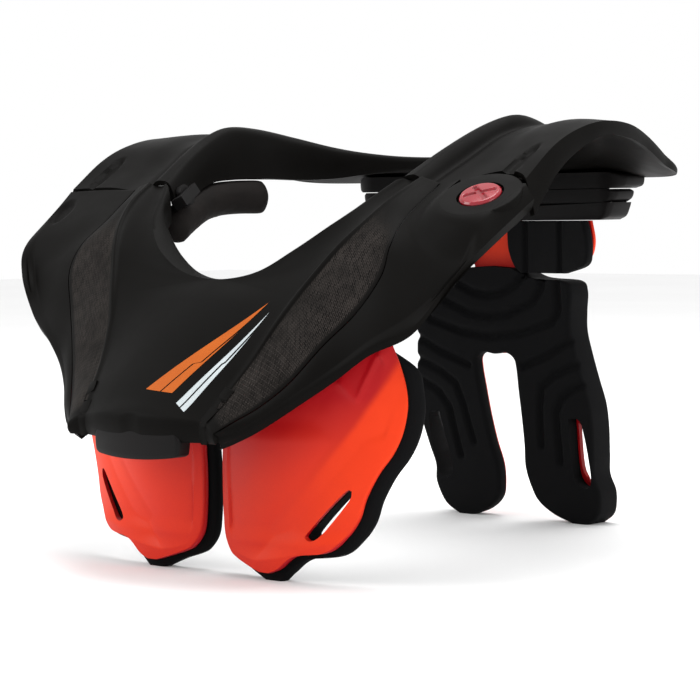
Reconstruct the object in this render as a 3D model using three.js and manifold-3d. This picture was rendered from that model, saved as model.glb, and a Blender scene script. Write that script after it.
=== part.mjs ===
// Motocross neck brace, in millimetres, +Z up, the wearer facing -Y, the wearer's left at +X.
// Two hard halves wrap the neck. The front half swings on a pin at the left shoulder.
import * as THREE from 'three';
import { mergeVertices } from 'three/addons/utils/BufferGeometryUtils.js';
import Module from 'manifold-3d';

const wasm = await Module();
wasm.setup();

// Driving sizes
const HALF_WIDTH = 166;
const HALF_DEPTH = 164;
const HEIGHT = 230;
const SHELL_WALL = 3;
const FIT_GAP = 0.4;
const SEAM_GAP = 0.8;
const SHOULDER_GAP = 0.8;
const HEM_DEPTH = 5;
const HEM_INSET = 2;
const EYE_RADIUS = 21;
const EYE_THICKNESS = 10;
const EYE_PROUD = 0.6;
const EYE_JOIN = 0.1;
const PIVOT_CLEARANCE = 2;
const PIN_RADIUS = 5;
const PIN_CAP_RADIUS = 10.5;
const PIN_CAP_THICKNESS = 2.6;
const PIN_CAP_PROUD = 0.8;
const PIN_FOOT_RADIUS = 8;
const PIN_FOOT_THICKNESS = 2.5;
const PIN_SLOT_WIDTH = 1.8;
const PIN_SLOT_DEPTH = 0.9;
const PIN_SLOT_TURN = Math.PI / 5;
const RUNNING_GAP = 0.5;
const TONGUE_RADIUS = 17;
const TONGUE_THICKNESS = 5;
const TONGUE_REACH = 34;
const TONGUE_TAPER = 3;
const TONGUE_ROOT_INSET = 5;
const TONGUE_ROOT_GAP = 1;
const LEAF_LENGTH = 34;
const LEAF_WIDTH = 7;
const LEAF_DEPTH = 1.6;
const THUMB_LENGTH = 20;
const THUMB_WIDTH = 13;
const THUMB_DEPTH = 1.6;
const CLIP_HALF_WIDTH = 30;
const STRUT_WALL = 3;
const CHEST_PAD = 8;
const PAD_MARGIN = 4;
const STRAP_SLOT_MARGIN = 1.5;
const BACK_PAD = 8;
const BACK_WRAP = 19;
const WRAP_START = 0.82;
const SHELL_SHARE = 0.8;
const WING_PAD = 7;
const GROOVE_WIDTH = 4;
const BRACKET_DEPTH = 22;
const BRACKET_WEB = 10;
const BOSS_HALF_WIDTH = 30;
const EAR_RADIUS = 6;
const EAR_THICKNESS = 3;
const HOOK_HEIGHT = 6;
const HOOK_THICKNESS = 3;
const HOOK_GAP = 1.2;
const HOOK_REACH = 14;
const HOOK_ROOT = 4.5;
const STEPS_PER_ROW = 2;
const FINEST_DETAIL = 0.06;

// Each row of a line is [across, along, up]: shares of half width, half depth and height.
// Front half, from the clip at the front centre to the arm end at the shoulder.
const FRONT_LINES = {
  spine: [
    [0, -0.985, 0.365], [0, -0.909, 0.448], [0, -0.811, 0.535], [0, -0.707, 0.607], [0, -0.625, 0.65],
  ],
  neck: [
    [0, -0.625, 0.65], [0.157, -0.61, 0.666], [0.289, -0.579, 0.715],
    [0.392, -0.506, 0.774], [0.458, -0.412, 0.822], [0.512, -0.329, 0.865],
  ],
  lip: [
    [0, -0.561, 0.641], [0.145, -0.53, 0.652], [0.265, -0.488, 0.676],
    [0.349, -0.46, 0.713], [0.41, -0.427, 0.746], [0.452, -0.36, 0.774],
  ],
  ridge: [
    [0.258, -0.942, 0.358], [0.283, -0.884, 0.409], [0.313, -0.808, 0.476], [0.352, -0.735, 0.557],
    [0.389, -0.692, 0.611], [0.434, -0.64, 0.67], [0.479, -0.588, 0.724],
    [0.524, -0.521, 0.774], [0.56, -0.433, 0.824], [0.584, -0.329, 0.865],
  ],
  seam: [
    [0.313, -0.962, 0.339], [0.349, -0.921, 0.361], [0.404, -0.863, 0.393], [0.464, -0.802, 0.441],
    [0.536, -0.735, 0.517], [0.611, -0.671, 0.585], [0.666, -0.622, 0.661],
    [0.66, -0.573, 0.723], [0.639, -0.476, 0.78], [0.652, -0.329, 0.852],
  ],
  edge: [
    [0.31, -0.945, 0.328], [0.355, -0.924, 0.341], [0.419, -0.875, 0.374], [0.494, -0.805, 0.422],
    [0.584, -0.738, 0.476], [0.681, -0.695, 0.53], [0.789, -0.637, 0.583],
    [0.886, -0.576, 0.654], [0.94, -0.512, 0.743], [0.97, -0.329, 0.85],
  ],
  rim: [
    [0.307, -0.929, 0.312], [0.36, -0.917, 0.328], [0.422, -0.872, 0.357], [0.506, -0.799, 0.409],
    [0.596, -0.741, 0.461], [0.693, -0.704, 0.515], [0.811, -0.653, 0.56],
    [0.913, -0.609, 0.654], [0.979, -0.524, 0.728], [1, -0.329, 0.817],
  ],
};

// Rear half, from the shoulder to the middle of the back.
const REAR_LINES = {
  wall: [
    [0.458, -0.323, 0.8], [0.5, -0.213, 0.833], [0.536, -0.085, 0.865], [0.548, 0.049, 0.876],
    [0.518, 0.183, 0.876], [0.452, 0.28, 0.872], [0.361, 0.348, 0.874],
    [0.259, 0.396, 0.883], [0.139, 0.427, 0.889], [0, 0.439, 0.891],
  ],
  crown: [
    [0.512, -0.323, 0.87], [0.545, -0.183, 0.928], [0.569, -0.043, 0.974], [0.581, 0.073, 0.997],
    [0.548, 0.183, 0.991], [0.47, 0.287, 0.971], [0.367, 0.351, 0.95],
    [0.265, 0.399, 0.936], [0.145, 0.445, 0.926], [0, 0.459, 0.922],
  ],
  channel: [
    [0.652, -0.323, 0.852], [0.675, -0.171, 0.907], [0.696, -0.049, 0.954], [0.708, 0.085, 0.978],
    [0.705, 0.232, 0.983], [0.657, 0.378, 0.963], [0.554, 0.518, 0.933],
    [0.41, 0.61, 0.911], [0.229, 0.665, 0.9], [0, 0.683, 0.896],
  ],
  hump: [
    [0.783, -0.323, 0.859], [0.795, -0.177, 0.915], [0.804, -0.055, 0.963], [0.81, 0.085, 0.988],
    [0.795, 0.244, 0.99], [0.747, 0.402, 0.967], [0.663, 0.549, 0.935],
    [0.518, 0.683, 0.907], [0.301, 0.774, 0.893], [0, 0.817, 0.889],
  ],
  side: [
    [0.964, -0.323, 0.857], [0.964, -0.189, 0.925], [0.964, -0.067, 0.963], [0.961, 0.073, 0.983],
    [0.94, 0.232, 0.98], [0.901, 0.384, 0.959], [0.855, 0.555, 0.917],
    [0.783, 0.726, 0.88], [0.458, 0.921, 0.878], [0, 1, 0.878],
  ],
  skirt: [
    [0.997, -0.323, 0.783], [0.985, -0.201, 0.865], [0.973, -0.073, 0.917], [0.967, 0.067, 0.951],
    [0.943, 0.232, 0.948], [0.904, 0.384, 0.928], [0.857, 0.555, 0.891],
    [0.783, 0.727, 0.867], [0.458, 0.923, 0.865], [0, 1.001, 0.865],
  ],
};

// Outlines of plates: rows of [inner across, inner up, outer across, outer up], from the foot up.
const CHEST_STRUT = [
  [0.217, 0.019, 0.265, 0.019], [0.165, 0.03, 0.301, 0.03], [0.108, 0.044, 0.361, 0.06],
  [0.078, 0.057, 0.464, 0.072], [0.051, 0.087, 0.518, 0.104], [0.042, 0.13, 0.554, 0.143],
  [0.039, 0.178, 0.575, 0.191], [0.039, 0.226, 0.608, 0.241], [0.041, 0.27, 0.645, 0.283],
  [0.045, 0.313, 0.669, 0.326], [0.051, 0.365, 0.682, 0.378], [0.06, 0.417, 0.68, 0.422],
  [0.072, 0.47, 0.666, 0.47], [0.084, 0.513, 0.647, 0.513],
];
const CHEST_HANGER = [0.18, 0.44];
const CHEST_SLOT = [
  [0.536, 0.205], [0.524, 0.18], [0.434, 0.102], [0.392, 0.1], [0.41, 0.122], [0.512, 0.2],
];
const BACK_PLATE = [
  [0.217, 0, 0.289, 0], [0.145, 0.02, 0.331, 0.02], [0.09, 0.05, 0.352, 0.044],
  [0.068, 0.087, 0.364, 0.087], [0.058, 0.14, 0.352, 0.13], [0.07, 0.2, 0.364, 0.18],
  [0.078, 0.27, 0.379, 0.25], [0.082, 0.34, 0.382, 0.31], [0.085, 0.395, 0.367, 0.37],
  [0.078, 0.42, 0.352, 0.43], [0.045, 0.433, 0.34, 0.49], [0, 0.435, 0.346, 0.54],
  [0, 0.52, 0.355, 0.59], [0, 0.59, 0.33, 0.615], [0, 0.635, 0.2, 0.622], [0, 0.652, 0.12, 0.645],
];
const BACK_SLOT = [
  [0.289, 0.258], [0.331, 0.243], [0.331, 0.123], [0.277, 0.135],
];

// The chest plates follow a shallow arc that is nearest the chest's front at this place.
const CHEST_FRONT = -0.68;
const CHEST_NEAREST = 0.253;
const CHEST_WRAP = 0.756;
// The back plate leans back towards its feet.
const BACK_TOP = 0.726;
const BACK_LEAN = 0.189;
const BACK_LEAN_POWER = 1.5;
const BACK_LEAN_START = 0.652;
// The wings bend forward round the shoulders, and the bracket over them bends less.
const WING_MIDDLE = 0.735;
const WING_WRAP = 0.403;
const WING_OUTLINE = [
  [0.145, 0.635, 0.36, 0.635], [0.114, 0.652, 0.47, 0.655], [0.09, 0.687, 0.494, 0.683],
  [0.084, 0.72, 0.491, 0.72], [0.084, 0.763, 0.47, 0.763],
];
const WING_SHELL = [
  [0, 0.655, 0.46, 0.668], [0, 0.69, 0.478, 0.69], [0, 0.72, 0.485, 0.72], [0, 0.763, 0.47, 0.763],
];
const STRUT_NECK = [[0, 0.68, 0.115, 0.68], [0, 0.783, 0.11, 0.783]];
const WING_GROOVES = [
  [[0.175, 0.63], [0.175, 0.77]],
  [[0.345, 0.63], [0.345, 0.77]],
];
const BRACKET_MIDDLE = 0.73;
const BRACKET_SWEEP = 0.132;
const BRACKET_UPPER = [
  [0, 0.804, 0.566, 0.804], [0, 0.822, 0.584, 0.822], [0, 0.846, 0.584, 0.846], [0, 0.86, 0.566, 0.86],
];
const BRACKET_LOWER = [[0, 0.768, 0.54, 0.768], [0, 0.791, 0.548, 0.791]];
const BRACKET_BACK = [[0, 0.768, 0.47, 0.768], [0, 0.86, 0.47, 0.86]];
const BOSS_TOP = 0.886;
// Section of the pad along the inner wall: outward from the wall and up from its lower edge.
const SHOULDER_SECTION = [
  [0.004, -0.004], [-0.018, -0.026], [-0.024, -0.052], [-0.012, -0.078],
  [0.02, -0.088], [0.055, -0.075], [0.073, -0.045], [0.07, -0.013], [0.045, -0.004],
];
const SHOULDER_MIDDLE = -0.09;
const SHOULDER_END = 0.45;
// Side view of the clip, [along, up], and its front view, [across, up].
const CLIP_PROFILE = [
  [-0.991, 0.28], [-1, 0.321], [-0.998, 0.36], [-0.962, 0.397],
  [-0.925, 0.385], [-0.935, 0.34], [-0.955, 0.285],
];
const CLIP_FRONT = [[0.172, 0.28], [0.181, 0.32], [0.172, 0.34], [0.13, 0.368], [0.06, 0.392]];
const BACK_GROOVES = [
  [[0, 0.578], [0.06, 0.584], [0.13, 0.606], [0.16, 0.63]],
  [[0, 0.526], [0.09, 0.532], [0.2, 0.565], [0.235, 0.6], [0.24, 0.63]],
  [[0, 0.474], [0.13, 0.484], [0.27, 0.514], [0.298, 0.54], [0.3, 0.63]],
  [[0.12, 0.4], [0.24, 0.432], [0.4, 0.49]],
  [[0.17, 0.3], [0.19, 0.35], [0.25, 0.38], [0.4, 0.425]],
  [[0.27, 0.285], [0.29, 0.325], [0.33, 0.35], [0.4, 0.37]],
];
const PIN_PLACE = [0.861, -0.402, 0.826];
const PIN_LEAN_FORWARD = 0.54;
const PIN_LEAN_OUT = 0.11;
const LEAF_PLACE = [0.88, -0.245, 0.9];
const THUMB_PLACE = [0.915, -0.43, 0.815];
const EAR_STATION = 0.04;
const EAR_RISE = 0.25;
const ROW_TURN = STEPS_PER_ROW * 9;

// Materials
const softTouchBlack = new THREE.MeshStandardMaterial({ color: 0x262322, roughness: 0.55, metalness: 0 });
const clipBlack = new THREE.MeshStandardMaterial({ color: 0x201e1e, roughness: 0.5, metalness: 0 });
const strutOrange = new THREE.MeshStandardMaterial({ color: 0xf4502a, roughness: 0.45, metalness: 0 });
const foamBlack = new THREE.MeshStandardMaterial({ color: 0x161617, roughness: 0.85, metalness: 0 });
const pinRed = new THREE.MeshStandardMaterial({ color: 0xa02030, roughness: 0.2, metalness: 0 });

function place([across, along, up]) {
  return new THREE.Vector3(across * HALF_WIDTH, along * HALF_DEPTH, up * HEIGHT);
}

function mirrored(point) {
  return new THREE.Vector3(-point.x, point.y, point.z);
}

// A smooth line through the rows (uniform Catmull-Rom), from 0 at the first row to 1 at the last.
// A line that ends on the mirror plane from outside it crosses that plane squarely.
function smoothLine(rows) {
  const points = rows.map(place);
  const last = points.length - 1;
  const beyond = (end, next) =>
    end.x === 0 && next.x > 0 ? mirrored(next) : end.clone().multiplyScalar(2).sub(next);
  const padded = [beyond(points[0], points[1]), ...points, beyond(points[last], points[last - 1])];
  return (t) => {
    const s = THREE.MathUtils.clamp(t, 0, 1) * last;
    const i = Math.min(Math.floor(s), last - 1);
    const f = s - i;
    const [a, b, c, d] = padded.slice(i, i + 4);
    const weights = [
      -0.5 * f + f * f - 0.5 * f * f * f,
      1 - 2.5 * f * f + 1.5 * f * f * f,
      0.5 * f + 2 * f * f - 1.5 * f * f * f,
      -0.5 * f * f + 0.5 * f * f * f,
    ];
    return new THREE.Vector3()
      .addScaledVector(a, weights[0])
      .addScaledVector(b, weights[1])
      .addScaledVector(c, weights[2])
      .addScaledVector(d, weights[3]);
  };
}

// A point set with shared corners, and faces that carry the name of the piece they belong to.
class Skin {
  constructor() {
    this.points = [];
    this.faces = [];
    this.index = new Map();
    this.pairs = [];
  }

  corner(p) {
    const key = [p.x, p.y, p.z].map((value) => Math.round(value * 1000)).join();
    if (!this.index.has(key)) {
      this.index.set(key, this.points.length);
      this.points.push(p.clone());
    }
    return this.index.get(key);
  }

  face(piece, a, b, c) {
    if (a !== b && b !== c && c !== a) {
      this.faces.push({ piece, corners: [a, b, c] });
    }
  }

  // Rows and columns of points become faces whose outer side is seen with rows going up and
  // columns going right. The mirror image is added where a second piece is named.
  grid(rows, piece, otherPiece) {
    for (const [target, turn] of [[piece, false], [otherPiece, true]]) {
      if (target !== undefined) {
        const ids = rows.map((row) => row.map((p) => this.corner(turn ? mirrored(p) : p)));
        this.quads(ids, target, turn);
      }
    }
  }

  quads(ids, piece, turn) {
    for (let i = 0; i + 1 < ids.length; i += 1) {
      for (let j = 0; j + 1 < ids[i].length; j += 1) {
        const [a, b, c, d] = [ids[i][j], ids[i][j + 1], ids[i + 1][j + 1], ids[i + 1][j]];
        this.face(piece, a, turn ? c : b, turn ? b : c);
        this.face(piece, a, turn ? d : c, turn ? c : d);
      }
    }
  }

  // Two points on the two sides of a split get one direction, so that the walls stay apart.
  pair(p, q) {
    this.pairs.push([this.corner(p), this.corner(q)], [this.corner(mirrored(p)), this.corner(mirrored(q))]);
  }

  normals() {
    const sums = this.points.map(() => new THREE.Vector3());
    for (const { corners } of this.faces) {
      const [a, b, c] = corners.map((id) => this.points[id]);
      const normal = b.clone().sub(a).cross(c.clone().sub(a));
      corners.forEach((id) => sums[id].add(normal));
    }
    for (const [p, q] of this.pairs) {
      const mean = sums[p].clone().normalize().add(sums[q].clone().normalize());
      sums[p].copy(mean);
      sums[q].copy(mean);
    }
    return sums.map((sum) => sum.normalize());
  }

  // One piece of the skin as a closed wall: its outer faces, the same faces moved in by the wall's
  // thickness, and a strip along every free edge.
  walled(piece, wall) {
    const normals = this.normals();
    const outer = this.faces.filter((face) => face.piece === piece).map((face) => face.corners);
    const used = [...new Set(outer.flat())];
    const order = new Map(used.map((id, i) => [id, i]));
    const positions = used.map((id) => this.points[id]);
    const inner = used.map((id) => this.points[id].clone().addScaledVector(normals[id], -wall));
    const count = used.length;
    const edges = new Set();
    const triangles = [];
    for (const corners of outer) {
      const [a, b, c] = corners.map((id) => order.get(id));
      triangles.push([a, b, c], [a + count, c + count, b + count]);
      [[a, b], [b, c], [c, a]].forEach(([p, q]) => edges.add(`${p},${q}`));
    }
    for (const edge of edges) {
      const [p, q] = edge.split(',').map(Number);
      if (!edges.has(`${q},${p}`)) {
        triangles.push([q, p, p + count], [q, p + count, q + count]);
      }
    }
    return solidFrom([...positions, ...inner], triangles);
  }
}

function solidFrom(points, triangles) {
  const vertProperties = new Float32Array(points.flatMap((p) => [p.x, p.y, p.z]));
  const triVerts = new Uint32Array(triangles.flat());
  const solid = new wasm.Manifold(new wasm.Mesh({ numProp: 3, vertProperties, triVerts }));
  if (solid.volume() > 0) {
    return solid;
  }
  const turned = new Uint32Array(triangles.flatMap(([a, b, c]) => [a, c, b]));
  return new wasm.Manifold(new wasm.Mesh({ numProp: 3, vertProperties, triVerts: turned }));
}

function solidOf(geometry, matrix = new THREE.Matrix4()) {
  const bare = geometry.clone().applyMatrix4(matrix);
  bare.deleteAttribute('normal');
  bare.deleteAttribute('uv');
  const merged = mergeVertices(bare, 1e-4);
  return new wasm.Manifold(new wasm.Mesh({
    numProp: 3,
    vertProperties: new Float32Array(merged.attributes.position.array),
    triVerts: new Uint32Array(merged.index.array),
  }));
}

function geometryOf(solid) {
  const mesh = solid.getMesh();
  const geometry = new THREE.BufferGeometry();
  geometry.setAttribute('position', new THREE.BufferAttribute(new Float32Array(mesh.vertProperties), 3));
  geometry.setIndex(new THREE.BufferAttribute(new Uint32Array(mesh.triVerts), 1));
  geometry.computeVertexNormals();
  return geometry;
}

function steps(count, from = 0, to = 1) {
  return Array.from({ length: count + 1 }, (_, i) => from + ((to - from) * i) / count);
}

function between(a, b, share, crown = 0, direction = new THREE.Vector3()) {
  return a.clone().lerp(b, share).addScaledVector(direction, crown * 4 * share * (1 - share));
}

function movedTowards(a, b, distance) {
  return a.clone().addScaledVector(b.clone().sub(a).normalize(), distance);
}

// Front half: the top cover and the two side panels share one skin, split along the seam line.
const front = Object.fromEntries(
  Object.entries(FRONT_LINES).map(([name, rows]) => [name, smoothLine(rows)]),
);
const SPINE_SHARE = (FRONT_LINES.spine.length - 1) / (FRONT_LINES.ridge.length - 1);
const FRONT_FACING = new THREE.Vector3(0, -0.7, 0.7);
const COVER_HOLLOW = -2;
const BAND_CROWN = 1;

function neckAt(t) {
  return t < SPINE_SHARE
    ? front.spine(t / SPINE_SHARE)
    : front.neck((t - SPINE_SHARE) / (1 - SPINE_SHARE));
}

// The rim of the opening rolls over from the crest and falls to the lip.
function rollAt(t, share) {
  const s = (t - SPINE_SHARE) / (1 - SPINE_SHARE);
  const crest = front.neck(s);
  const lip = front.lip(s);
  const corner = new THREE.Vector3(lip.x, lip.y, crest.z);
  return between(crest, corner, share).lerp(between(corner, lip, share), share);
}

function hemAt(t) {
  const rim = front.rim(t);
  return new THREE.Vector3(rim.x - HEM_INSET, rim.y + HEM_INSET / 2, rim.z - HEM_DEPTH * (0.5 + 0.5 * t));
}

const frontSkin = new Skin();
const frontStations = steps(ROW_TURN);
const spineRow = Math.round(SPINE_SHARE * ROW_TURN);
const coverRows = frontStations.map((t) => {
  const neck = neckAt(t);
  const ridge = front.ridge(t);
  const seam = front.seam(t);
  const inner = movedTowards(seam, ridge, SEAM_GAP / 2);
  return [
    ...steps(4).map((share) => between(neck, ridge, share, COVER_HOLLOW, FRONT_FACING)),
    ...steps(3).slice(1).map((share) => between(ridge, inner, share, BAND_CROWN, FRONT_FACING)),
  ];
});
const gapRows = frontStations.map((t) => {
  const seam = front.seam(t);
  return [front.ridge(t), front.edge(t)].map((side) => movedTowards(seam, side, SEAM_GAP / 2));
});
const panelRows = frontStations.map((t) => {
  const edge = front.edge(t);
  const outer = movedTowards(front.seam(t), edge, SEAM_GAP / 2);
  return [...steps(3).map((share) => between(outer, edge, share)), front.rim(t), hemAt(t)];
});
const rollRows = frontStations.slice(spineRow).map((t) => steps(3, 1, 0).map((share) => rollAt(t, share)));
frontSkin.grid(coverRows, 'cover', 'cover');
frontSkin.grid(rollRows, 'cover', 'cover');
frontSkin.grid(panelRows, 'left', 'right');
gapRows.forEach(([p, q]) => frontSkin.pair(p, q));

// Rear half: arms and roof in one skin.
const rear = Object.fromEntries(
  Object.entries(REAR_LINES).map(([name, rows]) => [name, smoothLine(rows)]),
);
const UP = new THREE.Vector3(0, 0, 1);
const NECKWARD = new THREE.Vector3(-1, 0, 0);
const WALL_CROWN = 2;
const ROOF_CROWN = 1.5;
const rearSkin = new Skin();
const rearRows = frontStations.map((t) => {
  const [wall, crown, channel, hump, side, skirt] = Object.values(rear).map((line) => line(t));
  return [
    ...steps(2).map((share) => between(wall, crown, share, WALL_CROWN, NECKWARD)),
    ...steps(2).slice(1).map((share) => between(crown, channel, share, ROOF_CROWN, UP)),
    hump,
    side,
    skirt,
  ];
});
rearSkin.grid(rearRows, 'table', 'table');

// The pin stands square to the arm; these two turn sizes along and across it into places.
const PIN = place(PIN_PLACE);
const PIN_AXIS = new THREE.Vector3(PIN_LEAN_OUT, -PIN_LEAN_FORWARD, 1).normalize();
const PIN_ACROSS = new THREE.Vector3(1, 0, 0).addScaledVector(PIN_AXIS, -PIN_AXIS.x).normalize();
const PIN_BACK = PIN_AXIS.clone().cross(PIN_ACROSS);

function onPin(across, back, rise) {
  return PIN.clone()
    .addScaledVector(PIN_ACROSS, across)
    .addScaledVector(PIN_BACK, back)
    .addScaledVector(PIN_AXIS, rise);
}

// A prism with its outline in the plane square to the pin, from one rise to another.
function pinPrism(shape, low, high, sides = 24) {
  const geometry = new THREE.ExtrudeGeometry(shape, {
    depth: high - low,
    bevelEnabled: false,
    curveSegments: sides / 2,
  });
  const matrix = new THREE.Matrix4()
    .makeBasis(PIN_ACROSS, PIN_BACK, PIN_AXIS)
    .setPosition(onPin(0, 0, low));
  return solidOf(geometry, matrix);
}

function disc(radius) {
  const shape = new THREE.Shape();
  shape.absarc(0, 0, radius, 0, 2 * Math.PI);
  return shape;
}

function polygon(points) {
  return new THREE.Shape(points.map(([x, y]) => new THREE.Vector2(x, y)));
}

const EYE_TOP = EYE_PROUD;
const EYE_FOOT = EYE_TOP - EYE_THICKNESS;
const CAP_SEAT = EYE_TOP + PIN_CAP_PROUD - PIN_CAP_THICKNESS;
const TONGUE_TOP = EYE_FOOT - RUNNING_GAP;
const TONGUE_FOOT = TONGUE_TOP - TONGUE_THICKNESS;
const POCKET_RADIUS = EYE_RADIUS + PIVOT_CLEARANCE;

// Cuts from a solid what comes within the gap of its neighbour.
function clearOf(solid, neighbour, gap) {
  const ways = [[gap, 0, 0], [-gap, 0, 0], [0, gap, 0], [0, -gap, 0], [0, 0, gap], [0, 0, -gap]];
  return ways.reduce((rest, way) => rest.subtract(neighbour.translate(way)), solid);
}

// Everything of the left panel behind and below the eye gives way to the turning clearance.
const behindEye = polygon([
  [-EYE_RADIUS, 0], [0, 0], [EYE_RADIUS, -EYE_RADIUS], [3 * EYE_RADIUS, -EYE_RADIUS],
  [3 * EYE_RADIUS, 3 * EYE_RADIUS], [-EYE_RADIUS, 3 * EYE_RADIUS],
]);
const panelRelief = pinPrism(behindEye, -2 * EYE_RADIUS, EYE_RADIUS)
  .subtract(pinPrism(disc(EYE_RADIUS - EYE_JOIN), EYE_FOOT + EYE_JOIN, 2 * EYE_RADIUS));
const cover = frontSkin.walled('cover', SHELL_WALL);
const leftPanel = clearOf(frontSkin.walled('left', SHELL_WALL), cover, FIT_GAP / 2)
  .subtract(panelRelief)
  .add(pinPrism(disc(EYE_RADIUS), EYE_FOOT, EYE_TOP))
  .subtract(pinPrism(disc(PIN_CAP_RADIUS + RUNNING_GAP), CAP_SEAT - RUNNING_GAP, 2 * EYE_RADIUS))
  .subtract(pinPrism(disc(PIN_RADIUS + RUNNING_GAP), -2 * EYE_RADIUS, EYE_TOP));

// A hollow pressed into a surface, with an outline as long and wide as given.
function hollow(centre, axis, along, length, width, depth) {
  const shape = new THREE.Shape();
  shape.absellipse(0, 0, length / 2, width / 2, 0, 2 * Math.PI);
  const geometry = new THREE.ExtrudeGeometry(shape, {
    depth: 4 * depth,
    bevelEnabled: false,
    curveSegments: 8,
  });
  const side = axis.clone().cross(along).normalize();
  const forward = side.clone().cross(axis).normalize();
  const matrix = new THREE.Matrix4()
    .makeBasis(forward, side, axis)
    .setPosition(centre.clone().addScaledVector(axis, -depth));
  return solidOf(geometry, matrix);
}

const ALONG_ARM = new THREE.Vector3(0.1, 0.84, 0.54);
const thumbHollow = hollow(
  mirrored(place(THUMB_PLACE)), mirrored(PIN_AXIS), ALONG_ARM, THUMB_LENGTH, THUMB_WIDTH, THUMB_DEPTH,
);
const rightPanel = clearOf(frontSkin.walled('right', SHELL_WALL), cover, FIT_GAP / 2)
  .subtract(thumbHollow);

const frontHalf = cover.add(leftPanel).add(rightPanel);

const tongueArm = polygon([
  [-TONGUE_RADIUS, 0], [TONGUE_RADIUS, 0],
  [TONGUE_RADIUS - TONGUE_TAPER, TONGUE_REACH], [-TONGUE_RADIUS, TONGUE_REACH],
]);
const tongueRoot = polygon([
  [TONGUE_ROOT_INSET - TONGUE_RADIUS, POCKET_RADIUS + TONGUE_ROOT_GAP],
  [TONGUE_RADIUS - TONGUE_TAPER, POCKET_RADIUS + TONGUE_ROOT_GAP],
  [TONGUE_RADIUS - TONGUE_TAPER, TONGUE_REACH], [TONGUE_ROOT_INSET - TONGUE_RADIUS, TONGUE_REACH],
]);
const leafAxis = new THREE.Vector3(0.05, -0.54, 1).normalize();
const leafHollows = [1, -1].map((side) => {
  const turn = (p) => (side > 0 ? p : mirrored(p));
  return hollow(turn(place(LEAF_PLACE)), turn(leafAxis), ALONG_ARM, LEAF_LENGTH, LEAF_WIDTH, LEAF_DEPTH);
});
const rearTable = clearOf(rearSkin.walled('table', SHELL_WALL), frontHalf, SHOULDER_GAP)
  .subtract(leafHollows[0])
  .subtract(leafHollows[1])
  .subtract(pinPrism(disc(POCKET_RADIUS), EYE_FOOT - RUNNING_GAP, 2 * EYE_RADIUS))
  .add(pinPrism(tongueRoot, TONGUE_FOOT, -0.75 * SHELL_WALL))
  .add(pinPrism(tongueArm, TONGUE_FOOT, TONGUE_TOP))
  .add(pinPrism(disc(TONGUE_RADIUS), TONGUE_FOOT, TONGUE_TOP))
  .subtract(pinPrism(disc(PIN_RADIUS + RUNNING_GAP), -3 * EYE_RADIUS, EYE_TOP));

// Release pin: cap with a crossed slot, shank, and a foot below the tongue.
function slotBar(turn) {
  const long = 0.8 * PIN_CAP_RADIUS;
  const half = PIN_SLOT_WIDTH / 2;
  const [c, s] = [Math.cos(turn), Math.sin(turn)];
  const corners = [[-long, -half], [long, -half], [long, half], [-long, half]];
  const shape = polygon(corners.map(([x, y]) => [c * x - s * y, s * x + c * y]));
  return pinPrism(shape, EYE_TOP + PIN_CAP_PROUD - PIN_SLOT_DEPTH, 2 * EYE_TOP + 2 * PIN_CAP_PROUD);
}

const PIN_FOOT_TOP = TONGUE_FOOT - FIT_GAP;
const pin = pinPrism(disc(PIN_CAP_RADIUS), CAP_SEAT, EYE_TOP + PIN_CAP_PROUD)
  .add(pinPrism(disc(PIN_RADIUS), PIN_FOOT_TOP - PIN_FOOT_THICKNESS / 2, CAP_SEAT + PIN_CAP_THICKNESS / 2))
  .add(pinPrism(disc(PIN_FOOT_RADIUS), PIN_FOOT_TOP - PIN_FOOT_THICKNESS, PIN_FOOT_TOP))
  .subtract(slotBar(PIN_SLOT_TURN))
  .subtract(slotBar(Math.PI - PIN_SLOT_TURN));

// Height of a solid's lowest face over a point of the floor plan, or 0 where there is none.
function undersideOver(solid, x, y) {
  const { vertProperties: v, triVerts: t } = solid.getMesh();
  let lowest = Infinity;
  for (let i = 0; i < t.length; i += 3) {
    const [a, b, c] = [0, 1, 2].map((k) => 3 * t[i + k]);
    const area = (v[b] - v[a]) * (v[c + 1] - v[a + 1]) - (v[c] - v[a]) * (v[b + 1] - v[a + 1]);
    if (Math.abs(area) > 1e-9) {
      const s = ((x - v[a]) * (v[c + 1] - v[a + 1]) - (v[c] - v[a]) * (y - v[a + 1])) / area;
      const r = ((v[b] - v[a]) * (y - v[a + 1]) - (x - v[a]) * (v[b + 1] - v[a + 1])) / area;
      if (s >= 0 && r >= 0 && s + r <= 1) {
        lowest = Math.min(lowest, v[a + 2] + s * (v[b + 2] - v[a + 2]) + r * (v[c + 2] - v[a + 2]));
      }
    }
  }
  return Number.isFinite(lowest) ? lowest : 0;
}

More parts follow.
